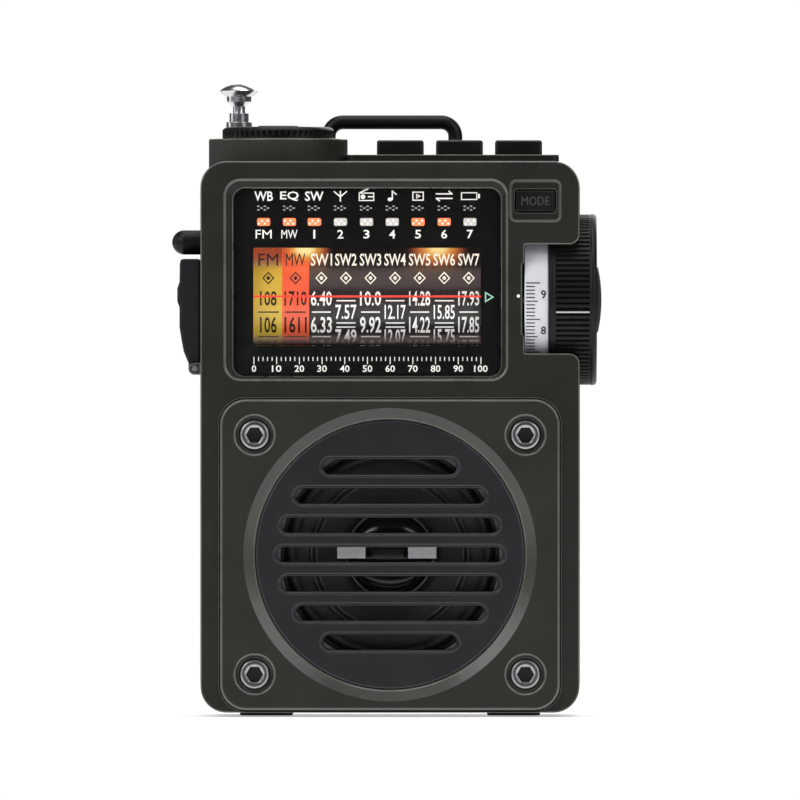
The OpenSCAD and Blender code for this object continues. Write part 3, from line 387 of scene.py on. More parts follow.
def metal(name, colour, rough, across=9000.0, along=300.0, depth=4 * MICRON):
    """Plated or drawn metal with fine lines, slight staining and smudges."""
    material, tree, shader = blank_material(name)
    drawn = group_node(tree, brushed_group, Across=across, Along=along)
    cloud = group_node(tree, moulded_grain_group, Size=0.6 * MM, Swell=3.5 * MM)
    tone = blend_colour(tree, cloud.outputs["Mottle"], toned(colour, METAL_STAIN), colour)
    tree.links.new(tone, shader.inputs["Base Color"])
    preset(shader, Metallic=1.0)
    streak = maths(tree, "MULTIPLY", drawn.outputs["Streak"], STREAK_SPREAD)
    smudge = maths(tree, "MULTIPLY", cloud.outputs["Mottle"], SMUDGE_SPREAD)
    tree.links.new(maths(tree, "ADD", maths(tree, "ADD", streak, smudge), rough - SMUDGE_SPREAD, True),
                   shader.inputs["Roughness"])
    bump(tree, shader, drawn.outputs["Height"], depth)
    return material


def ink(name, colour, glow=0.0, rough=0.5):
    """Printing ink or lit film: slightly uneven, so that it isn't a flat colour. Glow is the own light of
    lamp bodies, and painted light on print, marks and the pointer.
    """
    material, tree, shader = blank_material(name)
    grain = group_node(tree, moulded_grain_group, Size=200 * MICRON, Swell=1.5 * MM)
    tone = blend_colour(tree, grain.outputs["Mottle"], toned(colour, FILM_DARK), colour)
    tree.links.new(tone, shader.inputs["Base Color"])
    preset(shader, Roughness=rough)
    if glow:
        tree.links.new(tone, shader.inputs["Emission Color"])
        preset(shader, Emission_Strength=glow)
    return material


def object_axis(tree, axis):
    """The Object coordinate along one axis, in metres."""
    where = add_node(tree, "ShaderNodeTexCoord")
    apart = add_node(tree, "ShaderNodeSeparateXYZ")
    tree.links.new(where.outputs["Object"], apart.inputs[0])
    return apart.outputs[axis]


def fade(tree, value, start, end):
    """0 at start and 1 at end, smooth between them."""
    ramp = add_node(tree, "ShaderNodeMapRange", interpolation_type="SMOOTHSTEP", clamp=True)
    tree.links.new(value, ramp.inputs["Value"])
    ramp.inputs["From Min"].default_value = start
    ramp.inputs["From Max"].default_value = end
    return ramp.outputs["Result"]


def drum_film(name, yellow, orange):
    """The film round the drum: a yellow column, an orange column and seven dark ones, all glowing evenly as
    painted light standing in for the lamps' light on the drum.
    """
    material, tree, shader = blank_material(name)
    along = object_axis(tree, "X")
    first = maths(tree, "LESS_THAN", along, COLUMN_EDGES[1])
    second = maths(tree, "LESS_THAN", along, COLUMN_EDGES[2])
    grain = group_node(tree, moulded_grain_group, Size=350 * MICRON, Swell=4 * MM)
    mottle = grain.outputs["Mottle"]
    yellow_tone = blend_colour(tree, mottle, toned(yellow, 0.75), yellow)
    orange_tone = blend_colour(tree, mottle, toned(orange, 0.8), orange)
    dark_tone = blend_colour(tree, mottle, (0.012, 0.010, 0.010), (0.026, 0.021, 0.020))
    colours = blend_colour(tree, first, blend_colour(tree, second, dark_tone, orange_tone), yellow_tone)
    tree.links.new(colours, shader.inputs["Base Color"])
    # The glow is painted light from the lamps above the drum
    tree.links.new(colours, shader.inputs["Emission Color"])
    preset(shader, Emission_Strength=0.5, Roughness=0.38)
    bump(tree, shader, grain.outputs["Height"], 4 * MICRON)
    return material


def painted_glow_shade_film(name):
    """A film over the scale that paints light and shade: painted shade at its foot, where the drum curves
    away, and a painted glow where two lamps stand behind its top.
    """
    ember, orange, yellow = (0.60, 0.06, 0.02), (1.0, 0.50, 0.10), (1.0, 0.84, 0.36)
    dim_glow, cherry, painted_shade_black = (0.19, 0.135, 0.13), (0.33, 0.045, 0.022), (0.0005, 0.0004, 0.0004)
    foot_shade_cover, corner_glow_cover, lit_cover, hot_from, spread = 0.97, 0.78, 0.92, 0.62, 6.0
    material, tree, shader = blank_material(name)
    along, up = object_axis(tree, "X"), object_axis(tree, "Z")
    # Painted shade over the drum's foot, and painted glow round the lamps, in a band across the dark columns
    # and in the first column's top corner
    foot = maths(tree, "MULTIPLY", fade(tree, up, *FOOT_SHADE_FALL), foot_shade_cover)
    spots = []
    for centre, reach, strength in FILM_LAMPS:
        across = maths(tree, "ABSOLUTE", maths(tree, "SUBTRACT", along, centre))
        near = maths(tree, "MULTIPLY", fade(tree, across, reach, LAMP_CORE), fade(tree, up, *GLOW_RISE))
        spots.append(maths(tree, "MULTIPLY", near, strength))
    glow = maths(tree, "MAXIMUM", *spots)
    band = maths(tree, "MULTIPLY", fade(tree, up, *GLOW_BAND_RISE), fade(tree, up, *GLOW_BAND_FALL))
    dark_columns = maths(tree, "GREATER_THAN", along, COLUMN_EDGES[2])
    glow_band = maths(tree, "MULTIPLY", maths(tree, "MULTIPLY", band, GLOW_BAND_SHARE), dark_columns)
    first_column = maths(tree, "LESS_THAN", along, COLUMN_EDGES[1])
    corner_glow = maths(tree, "MULTIPLY", first_column, fade(tree, up, *CORNER_GLOW_RISE))

    amber = blend_colour(tree, glow, ember, orange)
    hot = blend_colour(tree, fade(tree, glow, hot_from, 1.0), amber, yellow)
    tone = blend_colour(tree, maths(tree, "MULTIPLY", glow, spread, True), dim_glow, hot)
    tone = blend_colour(tree, corner_glow, tone, cherry)
    open_part = maths(tree, "SUBTRACT", 1.0, maths(tree, "MULTIPLY", foot, 1.2, True), True)
    tree.links.new(blend_colour(tree, open_part, painted_shade_black, tone), shader.inputs["Emission Color"])
    red = maths(tree, "MULTIPLY", corner_glow, corner_glow_cover)
    lit = maths(tree, "MAXIMUM", maths(tree, "MAXIMUM", glow, glow_band), red)
    cover = maths(tree, "MAXIMUM", maths(tree, "MULTIPLY", lit, lit_cover), foot)
    tree.links.new(cover, shader.inputs["Alpha"])
    preset(shader, Emission_Strength=1.0, Base_Color=(0.003, 0.0026, 0.0027, 1.0), Roughness=0.6,
           Specular_IOR_Level=0.12)
    return material


def clear_pane(name):
    """The window's clear pane, with a very light smoke and a faint smear."""
    material, tree, shader = blank_material(name)
    preset(shader, Base_Color=(0.93, 0.94, 0.95, 1.0), IOR=1.22, Transmission_Weight=1.0, Alpha=0.2)
    smear = group_node(tree, moulded_grain_group, Size=4 * MM, Swell=12 * MM)
    tree.links.new(maths(tree, "MULTIPLY", smear.outputs["Mottle"], 0.03), shader.inputs["Roughness"])
    return material


def cone_paper(name):
    """Pressed speaker paper with fine rings and fibres."""
    material, tree, shader = blank_material(name)
    fibre = group_node(tree, moulded_grain_group, Size=220 * MICRON, Swell=2 * MM)
    tone = blend_colour(tree, fibre.outputs["Mottle"], (0.006, 0.006, 0.007), (0.022, 0.021, 0.024))
    tree.links.new(tone, shader.inputs["Base Color"])
    preset(shader, Roughness=0.55)
    bump(tree, shader, fibre.outputs["Height"], 50 * MICRON)
    return material


MATERIALS = {}


def finish(name):
    """One of the radio's finishes, made the first time it is asked for."""
    if name in MATERIALS:
        return MATERIALS[name]
    colours = bpy.context.scene.radio_finish
    housing, panel, black, grille, dial, fm, mw, pale = (tuple(getattr(colours, label)) for label in (
        "housing", "panel", "black", "grille", "dial", "fm", "mw", "ink"))
    grain, fine = bpy.context.scene.radio_sizes.grain, 200 * MICRON
    makers = {
        # Paints on the housing, and lighter finishes for the rounded edges: painted highlights
        "housing": lambda: grained("HousingPaint", housing, 0.5, grain, 14 * MICRON, 0.8, 0.12, coat=0.06,
                                   specular=0.24),
        "panel": lambda: grained("PanelPaint", panel, 0.48, grain, 14 * MICRON, 0.8, 0.10, coat=0.06,
                                 specular=0.24),
        # A lighter copy of the housing paint for the curved collar: painted light
        "collar": lambda: grained("CollarPaintedLight", (0.0300, 0.0312, 0.0232), 0.58, grain, 10 * MICRON, 0.7,
                                  0.10, specular=0.2),
        "rim": lambda: grained("PaintedEdgeHighlight", (0.088, 0.092, 0.078), 0.3, 300 * MICRON, 4 * MICRON, 0.0, 0.0,
                               coat=0.3),
        "grille_edge_highlight": lambda: grained("PaintedGrilleEdgeHighlight", (0.024, 0.0235, 0.028), 0.4, 300 * MICRON, 4 * MICRON,
                                      0.0, 0.0, coat=0.2),
        # A lighter copy of the panel paint for the slope round the grille: painted light
        "ring": lambda: grained("SlopePaintedLight", (0.036, 0.038, 0.030), 0.34, fine, 6 * MICRON, 0.6, 0.06,
                                coat=0.2, specular=0.45),
        "grille": lambda: grained("GrilleSatin", grille, 0.42, fine, 10 * MICRON, 0.6, 0.10, coat=0.06,
                                  specular=0.26),
        # Plastics and rubber
        "black": lambda: grained("BlackMoulding", black, 0.4, 240 * MICRON, 10 * MICRON, 0.45, 0.12,
                                 specular=0.22),
        "key": lambda: grained("KeyMoulding", toned(black, 0.9), 0.34, fine, 6 * MICRON, 0.45, 0.15,
                               specular=0.3),
        "knob": lambda: grained("KnobMoulding", toned(black, 1.4), 0.42, fine, 6 * MICRON, 0.4, 0.06,
                                specular=0.2),
        "rubber": lambda: grained("SoftRubber", (0.0125, 0.0117, 0.0140), 0.68, 220 * MICRON, 14 * MICRON,
                                  0.2, 0.3, specular=0.25),
        "dial": lambda: grained("DialWhite", dial, 0.36, 300 * MICRON, 3 * MICRON, 0.0, 0.0, swell=10 * MM),
        "mask": lambda: grained("MaskBlack", (0.0030, 0.0026, 0.0027), 0.6, 300 * MICRON, 3 * MICRON, 0.0,
                                0.0, specular=0.12),
        "gloss": lambda: grained("GlossBlack", (0.006, 0.006, 0.007), 0.16, 500 * MICRON, 3 * MICRON, 0.0,
                                 0.1),
        "parts": lambda: grained("PartPackage", (0.012, 0.012, 0.013), 0.45, fine, 6 * MICRON, 0.2, 0.1),
        "board": lambda: grained("BoardLacquer", (0.012, 0.085, 0.035), 0.3, 600 * MICRON, 6 * MICRON, 0.0,
                                 0.1, coat=0.4),
        "ferrite": lambda: grained("FerriteGrey", (0.032, 0.031, 0.033), 0.6, 300 * MICRON, 30 * MICRON, 0.3,
                                   0.1),
        "battery": lambda: grained("BatteryWrap", (0.045, 0.10, 0.24), 0.35, 800 * MICRON, 8 * MICRON, 0.0,
                                   0.1, coat=0.3),
        "cone": lambda: cone_paper("ConePaper"),
        # Metals
        # Pale matte plates whose colour is a painted highlight
        "pale_plate": lambda: grained("PaintedGlintPlate", (0.72, 0.72, 0.74), 0.35, fine, 10 * MICRON, 0.0, 0.0),
        "chrome": lambda: metal("ChromePlate", (0.66, 0.66, 0.68), 0.2),
        "steel": lambda: metal("DrawnSteel", (0.56, 0.57, 0.58), 0.28),
        "dark_steel": lambda: metal("BlackenedSteel", (0.13, 0.13, 0.135), 0.34, *EVEN_GRAIN),
        # Lighter metal on the screws' rounded rims is a painted highlight; the socket's dark metal is painted
        # shade
        "glint_steel": lambda: metal("PaintedGlintSteel", (0.44, 0.44, 0.45), 0.3, *EVEN_GRAIN),
        "socket": lambda: metal("SocketShade", (0.035, 0.035, 0.036), 0.45, *EVEN_GRAIN),
        "brass": lambda: metal("Brass", (0.78, 0.57, 0.26), 0.3),
        "copper": lambda: metal("EnamelledCopper", (0.72, 0.30, 0.14), 0.3, 300.0, 9000.0),
        # Inks, lamps and films; their glow is painted light, except on the lamps themselves
        "white_ink": lambda: ink("LightInk", pale, 0.55),
        "dim_ink": lambda: ink("DimInk", (0.42, 0.41, 0.40), 0.45),
        "faint_ink": lambda: ink("FaintInk", (0.055, 0.055, 0.065)),
        "cream_ink": lambda: ink("CreamInk", (0.80, 0.74, 0.62), 0.5),
        "dark_ink": lambda: ink("DarkInk", (0.010, 0.007, 0.006)),
        "dial_ink": lambda: ink("DialInk", (0.012, 0.012, 0.015)),
        "red_ink": lambda: ink("RedPointer", (0.80, 0.05, 0.03), 0.7),
        "green_ink": lambda: ink("GreenMark", (0.32, 0.62, 0.50), 0.5),
        "lamp": lambda: ink("LampBody", (0.95, 0.55, 0.2), 1.2, 0.3),
        "red_lamp": lambda: ink("RedLamp", (0.95, 0.20, 0.07), 1.1, 0.3),
        "pale_lamp": lambda: ink("PaleLamp", (0.62, 0.58, 0.55), 0.45, 0.3),
        "drum": lambda: drum_film("DrumFilm", fm, mw),
        "film": lambda: painted_glow_shade_film("PaintedGlowShadeFilm"),
        "pane": lambda: clear_pane("ClearPane"),
    }
    MATERIALS[name] = makers[name]()
    return MATERIALS[name]


# ---------------------------------------------------------------- mesh helpers

def piece(name, shape, body, look, replaces=(), sharp=35.0):
    """Makes a bmesh into a finished piece riding on a body. look is one finish, or several in slot order."""
    bmesh.ops.remove_doubles(shape, verts=shape.verts, dist=MERGE_PIECE)
    mesh = bpy.data.meshes.new(name)
    shape.to_mesh(mesh)
    shape.free()
    made = bpy.data.objects.new(name, mesh)
    bpy.context.scene.collection.objects.link(made)
    for label in (look if isinstance(look, (list, tuple)) else [look]):
        mesh.materials.append(finish(label))
    mesh.shade_smooth()
    mesh.set_sharp_from_angle(angle=math.radians(sharp))
    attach(made, body)
    if replaces:
        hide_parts(*replaces)
    return made


def dressed(node, look, edge=0.0, segments=2, angle=32.0, name=None, change=None, rim=None, sharp=35.0,
            clamp=False):
    """A merged copy of a CAD node with rounded edges, standing for it. rim is a finish for the rounding,
    which the lighter rim finishes use as a painted highlight.
    """
    shape = bmesh.new()
    shape.from_mesh(NODES[node].data)
    bmesh.ops.remove_doubles(shape, verts=shape.verts, dist=MERGE_CAD)
    bmesh.ops.dissolve_limit(shape, angle_limit=FLAT_ANGLE, use_dissolve_boundaries=False, verts=shape.verts,
                             edges=shape.edges)
    if change:
        change(shape)
    looks = list(look) if isinstance(look, (list, tuple)) else [look]
    all_looks = looks + ([rim] if rim else [])
    made = piece(name or node + "_skin", shape, BODY_OF[node], all_looks, [node], sharp)
    if edge:
        rounding = made.modifiers.new("Edge rounding", "BEVEL")
        rounding.width, rounding.segments = edge, segments
        rounding.material = len(looks) if rim else -1
        rounding.limit_method, rounding.angle_limit = "ANGLE", math.radians(angle)
        rounding.use_clamp_overlap = clamp
        rounding.harden_normals = True
        rounding.miter_outer = "MITER_ARC"
    return made


def spun(points, axis, centre, segments=64):
    """A closed profile of (along, radius) points, in metres, spun round an axis through centre."""
    shape = bmesh.new()
    axis = Vector(axis)
    side = Vector((0, 0, 1)) if abs(axis.z) < 0.5 else Vector((1, 0, 0))
    ring = [shape.verts.new(Vector(centre) + axis * a + side * r) for a, r in points]
    edges = [shape.edges.new((ring[i], ring[(i + 1) % len(ring)])) for i in range(len(ring))
             if not (points[i][1] == 0 and points[(i + 1) % len(ring)][1] == 0)]
    bmesh.ops.spin(shape, geom=ring + edges, cent=centre, axis=axis, angle=math.tau, steps=segments,
                   use_merge=True, use_duplicate=False)
    bmesh.ops.remove_doubles(shape, verts=shape.verts, dist=MERGE_SPUN)
    bmesh.ops.recalc_face_normals(shape, faces=shape.faces)
    return shape


def paint_faces(verts, material):
    """Gives the faces round some points of a bmesh one of its finishes."""
    for face in {f for v in verts for f in v.link_faces}:
        face.material_index = material


def bar(shape, x, y, z, material=0):
    """A box between two limits on each axis, in metres."""
    size = Matrix.Diagonal((x[1] - x[0], y[1] - y[0], z[1] - z[0], 1.0))
    centre = Matrix.Translation(((x[0] + x[1]) / 2, (y[0] + y[1]) / 2, (z[0] + z[1]) / 2))
    made = bmesh.ops.create_cube(shape, size=1.0, matrix=centre @ size)
    paint_faces(made["verts"], material)
    return made["verts"]


def rounded(shape, edges, width, segments, clamp=False):
    """Rounds some edges of a bmesh."""
    bmesh.ops.bevel(shape, geom=edges, offset=width, offset_type="OFFSET", affect="EDGES", segments=segments,
                    profile=0.5, material=-1, clamp_overlap=clamp)


def runs_back(edge):
    """Whether an edge runs from front to back."""
    return abs((edge.verts[0].co - edge.verts[1].co).normalized().y) > 0.9


def outline(shape, sides, x, z, wide, high, thick, y, depth, turn=0.0, material=0, filled=False):
    """A flat outline that faces forward: a triangle, diamond, box or circle, by its number of sides."""
    place = (Matrix.Translation((x, y, z)) @ Matrix.Diagonal((wide / 2, 1.0, high / 2, 1.0))
             @ Matrix.Rotation(math.radians(90), 4, "X") @ Matrix.Rotation(turn, 4, "Z"))
    made = bmesh.ops.create_circle(shape, cap_ends=True, segments=sides, radius=1.0, matrix=place)
    faces = list({f for v in made["verts"] for f in v.link_faces})
    if not filled:
        inset = bmesh.ops.inset_individual(shape, faces=faces, thickness=thick, use_even_offset=True)
        bmesh.ops.delete(shape, geom=faces, context="FACES_ONLY")
        faces = [f for f in inset["faces"] if f.is_valid]
    for face in faces:
        face.material_index = material
    grown = bmesh.ops.extrude_face_region(shape, geom=faces)
    verts = [v for v in grown["geom"] if isinstance(v, bmesh.types.BMVert)]
    bmesh.ops.translate(shape, verts=verts, vec=(0, -depth, 0))
    paint_faces(verts, material)
    bmesh.ops.reverse_faces(shape, faces=faces)


TEXT_SHAPES = {}


def text_mesh(words):
    """Flat text as a mesh, made once for each wording. Gives the mesh, its ends, its foot and its top."""
    if words not in TEXT_SHAPES:
        curve = bpy.data.curves.new("print_" + str(len(TEXT_SHAPES)), "FONT")
        curve.body, curve.size, curve.resolution_u = words, 1.0, 2
        curve.extrude, curve.offset = 0.5, 0.0 if "M" in words else LETTER_SWELL
        holder = bpy.data.objects.new(curve.name, curve)
        bpy.context.scene.collection.objects.link(holder)
        bpy.context.view_layer.update()
        mesh = bpy.data.meshes.new_from_object(holder)
        bpy.data.objects.remove(holder)
        bpy.data.curves.remove(curve)
        xs = [v.co.x for v in mesh.vertices]
        ys = [v.co.y for v in mesh.vertices]
        TEXT_SHAPES[words] = (mesh, min(xs), max(xs), min(ys), max(ys))
    return TEXT_SHAPES[words]


def lettering(shape, words, x, z, wide, high, y, depth, material=0):
    """Stands text on the XZ plane, facing forward, fitted to a width and height."""
    mesh, left, right, low, top = text_mesh(words)
    made = bmesh.new()
    made.from_mesh(mesh)
    bmesh.ops.remove_doubles(made, verts=made.verts, dist=MERGE_TEXT)
    place = (Matrix.Translation((x, y - depth / 2, z)) @ Matrix.Rotation(math.radians(90), 4, "X")
             @ Matrix.Diagonal((wide / (right - left), high / (top - low), depth, 1.0))
             @ Matrix.Translation((-(left + right) / 2, -(low + top) / 2, 0)))
    bmesh.ops.transform(made, matrix=place, verts=made.verts)
    for face in made.faces:
        face.material_index = material
    gather(shape, made)


def stroke(shape, start, end, thick, y, depth, material=0):
    """A straight stroke of printing between two (x, z) points, facing forward."""
    run = Vector((end[0] - start[0], 0, end[1] - start[1]))
    middle = Matrix.Translation(((start[0] + end[0]) / 2, y - depth / 2, (start[1] + end[1]) / 2))
    turn = Matrix.Rotation(-math.atan2(run.z, run.x), 4, "Y")
    size = Matrix.Diagonal((run.length + thick, depth, thick, 1.0))
    made = bmesh.ops.create_cube(shape, size=1.0, matrix=middle @ turn @ size)
    paint_faces(made["verts"], material)


def gather(shape, *others):
    """Adds other bmeshes to one and frees them."""
    for other in others:
        scratch = bpy.data.meshes.new("scratch")
        other.to_mesh(scratch)
        other.free()
        shape.from_mesh(scratch)
        bpy.data.meshes.remove(scratch)


def wrap_round_dial(shape, radius, step):
    """Bends flat printing, whose Z is a length along the arc, round the dial's axis."""
    heights = [v.co.z for v in shape.verts]
    height, top = math.floor(min(heights) / step) * step, max(heights)
    while height < top:
        height += step
        bmesh.ops.bisect_plane(shape, geom=shape.verts[:] + shape.edges[:] + shape.faces[:], dist=MERGE_CUT,
                               plane_co=(0, 0, height), plane_no=(0, 0, 1))
    for vert in shape.verts:
        turn, out = vert.co.z / radius, radius - vert.co.y
        vert.co.y, vert.co.z = DIAL_Y - out * math.cos(turn), DIAL_Z + out * math.sin(turn)


def arc_length(height, radius):
    """How far round the dial's surface a point lies that shows at this height above the axis."""
    return radius * math.asin(max(-0.99, min(0.99, (height - DIAL_Z) / radius)))


def give_looks(looks):
    """Assigns finishes to CAD nodes that stay as they are."""
    for node, look in looks.items():
        data = NODES[node].data
        data.materials.clear()
        data.materials.append(finish(look))


def area_light(name, place, power, size, colour=(1.0, 1.0, 1.0)):
    """Hangs a rectangular light; gives its object."""
    data = bpy.data.lights.new(name, "AREA")
    data.shape, data.size, data.size_y = "RECTANGLE", size[0], size[1]
    data.energy, data.color = power, colour
    lamp = bpy.data.objects.new(name, data)
    lamp.location = place
    bpy.context.scene.collection.objects.link(lamp)
    return lamp


# ---------------------------------------------------------------- operators

def paint_slope_light(shape):
    """Gives the sloping ring round the grille a lighter copy of the panel paint: painted light, the slope
    shown brighter than the panel.
    """
    x, _, z = middle_of("grille_disc")
    for face in shape.faces:
        middle = face.calc_center_median()
        reach = math.hypot(middle.x - x, middle.z - z)
        if reach < SLOPE_R and -0.97 < face.normal.y < -0.1:
            face.material_index = 1


def close_deck_gap(shape):
    """Carries the key deck's left end up to the turret's collar."""
    left, collar = BOX["key_deck"][0].x, BOX["turret_collar"][1].x
    for vert in shape.verts:
        if vert.co.x < left + DECK_CORNER:
            vert.co.x -= left - collar + DECK_LAP


class RADIO_OT_housing(bpy.types.Operator):
    """Round and paint the shells, speaker panel and grille disc"""

    bl_idname = "radio.housing"
    bl_label = "Housing"

    def execute(self, context):
        edge = context.scene.radio_sizes.edge
        # The rim finishes on the rounded edges are painted highlights
        dressed("front_shell", "housing", edge, 3, BEZEL_ANGLE, rim="rim", sharp=14)
        dressed("rear_shell", "housing", edge, 3, rim="rim", sharp=14)
        dressed("speaker_panel", ["panel", "ring"], edge * 1.7, 4, change=paint_slope_light, rim="rim",
                sharp=12)
        dressed("grille_disc", "grille", edge * 1.2, 3, rim="grille_edge_highlight")
        dressed("turret_collar", "collar", edge, 3, rim="rim")
        dressed("key_deck", "housing", edge * 0.6, 2, change=close_deck_gap, rim="rim")
        dressed("feet", "rubber", edge * 0.6, 2)
        return {"FINISHED"}


def screw_head(centre, depth, radius, socket_r, axis):
    """A socket head with a rounded rim and a six-sided socket, as its own bmesh."""
    rim, deep, lead_in, dip = radius * 0.14, depth * 0.8, 0.25 * MM, 0.1 * MM
    profile = [(0.0, 0.0), (0.0, radius), (depth - rim, radius), (depth - rim * 0.3, radius - rim * 0.3),
               (depth, radius - rim), (depth, socket_r + lead_in), (depth - 0.12 * MM, socket_r),
               (depth - deep, socket_r), (depth - deep - dip, 0.0)]
    made = spun(profile, axis, centre, 48)
    centre, axis = Vector(centre), Vector(axis)
    for face in made.faces:
        out = face.calc_center_median() - centre
        along = out.dot(axis)
        reach = (out - axis * along).length
        flat = abs(face.normal.dot(axis)) > 0.97
        # Socket faces take the dark socket finish, painted shade; the rounded rim takes the lighter metal, a
        # painted highlight
        if reach < socket_r + TOUCH:
            face.material_index = 1
        elif along > depth - rim * 1.1 and not flat:
            face.material_index = 2
    for vert in made.verts:
        out = vert.co - centre
        out -= axis * out.dot(axis)
        if abs(out.length - socket_r) < TOUCH:
            turn = math.atan2(out.z, out.x) % math.radians(60) - math.radians(30)
            vert.co += out * (0.9 / math.cos(turn) - 1.0)
    return made


class RADIO_OT_screws(bpy.types.Operator):
    """Make the socket heads of the panel and housing screws"""

    bl_idname = "radio.screws"
    bl_label = "Screws"

    def execute(self, context):
        front = BOX["panel_screws"][0].y
        tops = [v.co for v in NODES["panel_screws"].data.vertices if abs(v.co.y - front) < TOUCH]
        spots = []
        for point in tops:
            if not any((point - spot).length < 3 * HEAD_R for spot in spots):
                spots.append(point)
        heads = bmesh.new()
        for spot in spots:
            near = [p for p in tops if (p - spot).length < 3 * HEAD_R]
            x = (min(p.x for p in near) + max(p.x for p in near)) / 2
            z = (min(p.z for p in near) + max(p.z for p in near)) / 2
            gather(heads, screw_head((x, front + HEAD_DEEP, z), HEAD_DEEP, HEAD_R, SOCKET_R, (0, -1, 0)))
        piece("panel_screw_heads", heads, "housing", ["dark_steel", "socket", "glint_steel"],
              ["panel_screws"], 30)
        dressed("housing_screws", "dark_steel", 0.07 * MM, 2, rim="glint_steel", clamp=True)
        return {"FINISHED"}


class RADIO_OT_speaker(bpy.types.Operator):
    """Make the speaker's cone, roll, dust cap and two pale plates, seen through the slots; the plates' pale
    colour paints bright glints
    """

    bl_idname = "radio.speaker"
    bl_label = "Speaker"

    def execute(self, context):
        x, _, z = middle_of("speaker_cone")
        wide, deep, _ = size_of("speaker_cone")
        front, rim = BOX["speaker_cone"][0].y, wide / 2
        back, centre, wall, steps = (0, 1, 0), (x, front, z), 0.35 * MM, 8

        lip, neck, roll_wide, roll_high = 1.1 * MM, 5.6 * MM, 2.2 * MM, 0.9 * MM
        flare_end = rim - 0.6 * MM - roll_wide
        line = []
        for i in range(steps + 1):
            t = i / steps
            line.append((deep - (deep - lip) * (1 - (1 - t) ** 1.5), neck + (flare_end - neck) * t))
        line += [(lip - roll_high * math.sin(math.pi * i / steps), flare_end + roll_wide * i / steps)
                 for i in range(1, steps + 1)]
        line.append((lip, rim))
        profile = line + [(a + wall, r) for a, r in reversed(line)]
        cone = spun(profile, back, centre, 72)
        piece("speaker_cone_roll", cone, "housing", "cone", ["speaker_cone"], 50)

        seat, cap_high, cap_r = deep - 1.2 * MM, 2.9 * MM, 6.6 * MM
        turns = [math.pi / 2 * i / steps for i in range(steps + 1)]
        bow = [(seat - cap_high * math.cos(turn), cap_r * math.sin(turn)) for turn in turns]
        skirt = [(bow[-1][0] + wall, bow[-1][1]), (bow[-1][0] + wall, 0.0)]
        cap = spun(bow + skirt, back, centre, 64)
        piece("speaker_dust_cap", cap, "housing", "gloss", (), 50)

        trim = bmesh.new()
        for radius, thick, at in ((11.4, 0.16, 1.5), (12.2, 0.13, 1.3), (6.75, 0.2, 3.6)):
            ring = []
            for i in range(steps):
                turn = math.tau * i / steps
                ring.append(((at + thick * math.cos(turn)) * MM, (radius + thick * math.sin(turn)) * MM))
            gather(trim, spun(ring, back, centre, 72))
        piece("speaker_trim_rings", trim, "housing", "dark_steel", (), 60)

        # Two pale matte plates whose colour paints the bright glints seen through the middle slot
        plates, spans, face = bmesh.new(), ((-8.2, -3.8), (2.8, 7.2)), front - 0.5 * MM
        lean = Matrix.Rotation(math.radians(-14), 3, "X")
        for left, right in spans:
            verts = bar(plates, (x + left * MM, x + right * MM), (face, front - 0.15 * MM),
                        (z - 0.75 * MM, z + 1.25 * MM))
            bmesh.ops.rotate(plates, verts=verts, cent=centre, matrix=lean)
        rounded(plates, plates.edges[:], 0.12 * MM, 2, clamp=True)
        for left, right in spans:
            for i in range(4):
                at = x + (left + (right - left) * (i + 0.7) / 4.4) * MM
                stroke(plates, (at, z - 0.5 * MM), (at, z + 1.0 * MM), 0.16 * MM, face, 0.12 * MM)
        piece("speaker_glint_plates", plates, "housing", "pale_plate", (), 40)
        return {"FINISHED"}


def icon_row(shape, face, depth):
    """The top row: three words, an aerial, a radio, a note, a player, two arrows and a cell."""
    def lines(x, *runs, thick=0.2):
        for x1, z1, x2, z2 in runs:
            start, end = (x + x1 * MM, ICON_Z + z1 * MM), (x + x2 * MM, ICON_Z + z2 * MM)
            stroke(shape, start, end, thick * MM, face, depth)

    def ring(sides, x, shift, lift, wide, high, thick, turn=0.0, filled=False):
        outline(shape, sides, x + shift * MM, ICON_Z + lift * MM, wide * MM, high * MM, thick * MM, face,
                depth, math.radians(turn), filled=filled)

    for words, x in zip(("WB", "EQ", "SW"), ICON_X):
        lettering(shape, words, x, ICON_Z, 2.9 * MM, 1.5 * MM, face, depth)
    aerial, radio, note, player, arrows, cell = ICON_X[3:]
    lines(aerial, (0, -0.75, 0, 0.7), (0, -0.1, -0.95, 0.7), (0, -0.1, 0.95, 0.7))
    ring(4, radio, 0, -0.1, 3.4, 1.85, 0.16, 45)
    ring(12, radio, -0.55, -0.1, 0.75, 0.75, 0.3)
    lines(radio, (0.3, -0.1, 0.9, -0.1), (-0.9, 0.6, 0.2, 1.1))
    ring(12, note, -0.35, -0.5, 0.75, 0.6, 0.3, filled=True)
    lines(note, (0, -0.5, 0, 0.75), (0, 0.75, 0.6, 0.3))
    ring(4, player, 0, 0, 2.5, 2.0, 0.17, 45)
    ring(3, player, -0.05, 0, 0.95, 0.9, 0.14, -90)
    for side in (1, -1):
        lift = side * 0.35
        lines(arrows, (-1.2, lift, 1.2, lift), (side * 1.2, lift, side * 0.75, lift * 2.1))
    ring(4, cell, -0.12, 0, 3.6, 1.7, 0.16, 45)
    lines(cell, (1.4, -0.2, 1.4, 0.2), thick=0.28)


def logging_row(shape, face, depth):
    """The 0 to 100 scale under the drum: fifty divisions, with a number at every fifth."""
    for i in range(51):
        x = LOG_LEFT + LOG_WIDE * i / 50
        long = (1.0 if i % 5 == 0 else 0.5) * MM
        stroke(shape, (x, LOG_FOOT - long), (x, LOG_FOOT), 0.12 * MM, face, depth)
    for i in range(11):
        number = str(i * 10)
        wide = (0.7, 1.5, 2.1)[len(number) - 1] * MM
        lettering(shape, number, LOG_LEFT + LOG_WIDE * i / 10, LOG_NUMBER_Z, wide, 1.05 * MM, face, depth)


